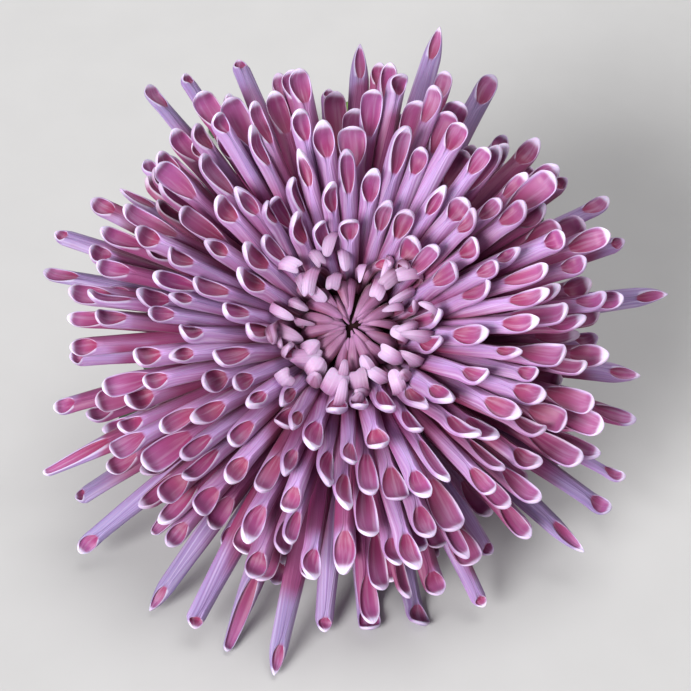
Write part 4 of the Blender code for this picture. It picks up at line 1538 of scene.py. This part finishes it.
def grow_hairs(route, ahead, material):
    """Short pale hairs on the stem: one thin cone, copied to seeded places above the surface."""
    bpy.ops.object.select_all(action="DESELECT")
    bpy.ops.mesh.primitive_cone_add(
        vertices=3, radius1=HAIR_RADIUS * MM, radius2=0.0, depth=HAIR_LENGTH * MM, calc_uvs=False,
    )
    master = bpy.context.object
    master.data.materials.append(material)
    mark(master, rib=1.0, cut=0.0)
    cone = read_points(master.data)
    side = np.array((1.0, 0.0, 0.0))
    lengths = np.concatenate(([0.0], np.cumsum(np.linalg.norm(np.diff(route, axis=0), axis=1))))
    chance = random.Random(HAIR_SEED)
    hairs = []
    for _ in range(HAIRS):
        along = chance.uniform(*HAIRY_SPAN) * lengths[-1]
        middle, tangent = (
            np.array([np.interp(along, lengths, rows[:, k]) for k in range(3)])
            for rows in (route, ahead)
        )
        turn = chance.uniform(0.0, FULL_TURN)
        upper = np.cross(side, tangent)
        outwards = math.cos(turn) * side + math.sin(turn) * upper
        lean = unit(outwards + chance.uniform(*HAIR_LEAN) * tangent)
        foot = middle + (STEM_RADIUS - HAIR_ROOT) * outwards
        if foot[2] < HAIR_CLEARANCE:
            continue
        beside = unit(np.cross(lean, tangent))
        points = foot + cone[:, :1] * beside + cone[:, 1:2] * np.cross(lean, beside)
        points = points + (cone[:, 2:] + 0.5 * HAIR_LENGTH) * lean
        hair = copy_mesh(master)
        write_points(hair.data, lying_to_frame(points))
        hairs.append(hair)
    remove_piece(master)
    return hairs


def leaf_stations():
    """A leaf's sections: share along, half width as a share, how far its edge leans forward."""
    stations = [(share, wide, 0.0) for share, wide in LEAF_STALK]
    for start, end, wide in LEAF_LOBES:
        for share, tooth, lean in LOBE_TEETH:
            stations.append((start + share * (end - start), tooth * wide, lean))
    return np.array(stations + list(LEAF_END))


def leaf_points(leads, half_width, columns, rows):
    """The places of a leaf's grid, from its columns in -1 to 1 and rows in 0 to 1, and its veins."""
    stations = leaf_stations()
    last = len(stations) - 1
    stops = np.arange(last + 1)
    share, wide, lean = (np.interp(rows * last, stops, stations[:, k]) for k in range(3))
    before, after = np.maximum(share - SHARE_STEP, 0.0), np.minimum(share + SHARE_STEP, 1.0)
    ahead = unit(bezier(leads, after) - bezier(leads, before))
    sideways = unit(np.cross(ahead, (0.0, 0.0, 1.0)))
    upper = np.cross(sideways, ahead)
    across = columns * wide * half_width
    fold = LEAF_FOLD * np.abs(across) * (1.0 - np.abs(across) / half_width)
    wave = LEAF_WAVE * np.abs(columns) * wide * np.interp(rows * last, stops, np.sin(WAVE_TURN * stops))
    vein = vein_nearness(columns, share)
    relief = fold + wave - VEIN_DEPTH * vein * (wide > VEINLESS_WIDTH)
    forward = np.abs(across) * lean
    points = bezier(leads, share) + across[:, None] * sideways
    points = points + forward[:, None] * ahead + relief[:, None] * upper
    points[:, 2] = np.maximum(points[:, 2], 0.5 * LEAF_THICKNESS + LEAF_LIFT)
    return points, vein


def vein_nearness(columns, share):
    """How near a place is to the midrib or a side vein, from nought to one."""
    slanted = (share - VEIN_SLANT * np.abs(columns)) / VEIN_SPACING
    side = 1.0 - smooth_step(np.abs(slanted - np.rint(slanted)), *VEIN_EDGE)
    midrib = 1.0 - smooth_step(np.abs(columns), *MIDRIB_EDGE)
    return np.maximum(midrib, side * (1.0 - 0.5 * np.abs(columns)))


class FLOWER_OT_leaves(bpy.types.Operator):
    """Model the lobed leaves, each a grid shaped along its midrib and given its thickness"""

    bl_idname = "flower.leaves"
    bl_label = "Leaves"

    def execute(self, context):
        colours = context.scene.flower_greens
        material = green_material(
            "leaf green", colours.blade, colours.vein,
            lambda look: look.range(look.attribute("vein"), 0.2, 1.0, to_high=0.85), roughness=0.48,
        )
        for name, leads, half_width in LEAVES:
            leaf = model_leaf(leads, half_width, material)
            join_pieces(f"{name}_veined", [leaf], "leaf", name)
        return {"FINISHED"}


def model_leaf(leads, half_width, material):
    """A leaf with lobes, teeth and sunk veins."""
    bpy.ops.object.select_all(action="DESELECT")
    bpy.ops.mesh.primitive_grid_add(
        x_subdivisions=LEAF_COLUMNS, y_subdivisions=LEAF_ROWS, size=2.0 * MM, calc_uvs=False,
    )
    leaf = bpy.context.object
    grid = read_points(leaf.data)
    points, vein = leaf_points(leads, half_width, grid[:, 0], 0.5 * (grid[:, 1] + 1.0))
    write_points(leaf.data, lying_to_frame(points))
    mark(leaf, vein=vein)
    bpy.ops.object.modifier_add(type="SOLIDIFY")
    leaf.modifiers[-1].thickness = LEAF_THICKNESS * MM
    leaf.modifiers[-1].offset = 0.0
    bpy.ops.object.modifier_apply(modifier=leaf.modifiers[-1].name)
    leaf.data.materials.append(material)
    bpy.ops.object.shade_smooth()
    return leaf


class FLOWER_OT_stage(bpy.types.Operator):
    """Set up the camera, the soft lights and the pale floor"""

    bl_idname = "flower.stage"
    bl_label = "Stage"

    def execute(self, context):
        settings = context.scene.flower_stage
        add_floor(settings.floor)
        aim = bloom_to_frame(np.array(((AIM_ASIDE, 0.0, 0.0),)))[0]
        tilt = settings.elevation
        forward = Vector((0.0, math.cos(tilt), -math.sin(tilt)))
        upward = Vector((0.0, math.sin(tilt), math.cos(tilt)))
        target = Vector(aim) - AIM_BELOW * MM * upward
        camera = bpy.data.cameras.new("camera")
        camera.sensor_width = SENSOR
        camera.lens = SENSOR * settings.distance / (PHOTO_SIDE * settings.pixel)
        camera.clip_start = 0.01
        place = target - settings.distance * forward
        context.scene.camera = place_object("camera", camera, place, forward)
        add_light("key", settings.key, KEY_BREADTH, KEY_FROM)
        add_light("fill", settings.fill, FILL_BREADTH, FILL_FROM)
        set_world(settings.surround)
        context.scene.view_settings.view_transform = "Standard"
        return {"FINISHED"}


def add_floor(colour):
    """A wide pale floor with a barely uneven surface."""
    bpy.ops.object.select_all(action="DESELECT")
    bpy.ops.mesh.primitive_circle_add(vertices=64, radius=FLOOR_RADIUS, fill_type="NGON")
    floor = bpy.context.object
    floor.name = "floor"
    look = Shading("pale floor", roughness=0.8, specular=0.2)
    grain = look.noise(look.place(), scale=60.0)
    look.colour(look.tint(colour, look.range(grain, 0.2, 0.8, to_low=0.985, to_high=1.015)))
    floor.data.materials.append(look.material)


def place_object(name, data, place, forward):
    """The camera or a light as an object in this place, turned to look this way."""
    holder = bpy.data.objects.new(name, data)
    bpy.context.scene.collection.objects.link(holder)
    holder.location = place
    holder.rotation_mode = "QUATERNION"
    holder.rotation_quaternion = forward.to_track_quat("-Z", "Y")
    return holder


def add_light(name, strength, breadth, source):
    """A broad soft light that falls evenly from this direction."""
    light = bpy.data.lights.new(name, "SUN")
    light.energy = strength
    light.angle = breadth
    place_object(name, light, source, -source)


def set_world(strength):
    """An even pale surround, which lights the flower less than it shows."""
    world = bpy.data.worlds.new("surround")
    bpy.context.scene.world = world
    world.use_nodes = True
    nodes, links = world.node_tree.nodes, world.node_tree.links
    seen = nodes["Background"]
    seen.inputs["Color"].default_value = SEEN_COLOUR
    seen.inputs["Strength"].default_value = BACKDROP
    lighting = nodes.new("ShaderNodeBackground")
    lighting.inputs["Color"].default_value = LIGHTING_COLOUR
    lighting.inputs["Strength"].default_value = strength
    mix = nodes.new("ShaderNodeMixShader")
    links.new(nodes.new("ShaderNodeLightPath").outputs["Is Camera Ray"], mix.inputs[0])
    links.new(lighting.outputs["Background"], mix.inputs[1])
    links.new(seen.outputs["Background"], mix.inputs[2])
    links.new(mix.outputs["Shader"], nodes["World Output"].inputs["Surface"])


class FLOWER_PT_panel(bpy.types.Panel):
    """The flower's pieces and their settings"""

    bl_idname = "FLOWER_PT_panel"
    bl_label = "Spider Chrysanthemum"
    bl_space_type = "VIEW_3D"
    bl_region_type = "UI"
    bl_category = "Flower"

    def draw(self, context):
        for group, operators in STEPS.items():
            settings = getattr(context.scene, group)
            for name in settings.__annotations__:
                self.layout.prop(settings, name)
            for operator in operators:
                self.layout.operator(operator)


STEPS = {
    "flower_petals": ("flower.ray_petals",),
    "flower_heart": ("flower.heart",),
    "flower_greens": ("flower.involucre", "flower.stem", "flower.leaves"),
    "flower_stage": ("flower.stage",),
}
GROUPS = {
    "flower_petals": PetalSettings,
    "flower_heart": HeartSettings,
    "flower_greens": GreenSettings,
    "flower_stage": StageSettings,
}
CLASSES = (
    *GROUPS.values(),
    FLOWER_OT_ray_petals,
    FLOWER_OT_heart,
    FLOWER_OT_involucre,
    FLOWER_OT_stem,
    FLOWER_OT_leaves,
    FLOWER_OT_stage,
    FLOWER_PT_panel,
)


def register():
    """Registers the classes, and puts the settings on the scene."""
    for each in CLASSES:
        bpy.utils.register_class(each)
    for name, group in GROUPS.items():
        setattr(bpy.types.Scene, name, PointerProperty(type=group))


def unregister():
    """Takes the settings off the scene, and the classes out again."""
    for name in GROUPS:
        delattr(bpy.types.Scene, name)
    for each in reversed(CLASSES):
        bpy.utils.unregister_class(each)


def main():
    """Models every piece in order."""
    register()
    bpy.ops.flower.ray_petals()
    bpy.ops.flower.heart()
    bpy.ops.flower.involucre()
    bpy.ops.flower.stem()
    bpy.ops.flower.leaves()
    bpy.ops.flower.stage()


if __name__ == "__main__":
    main()
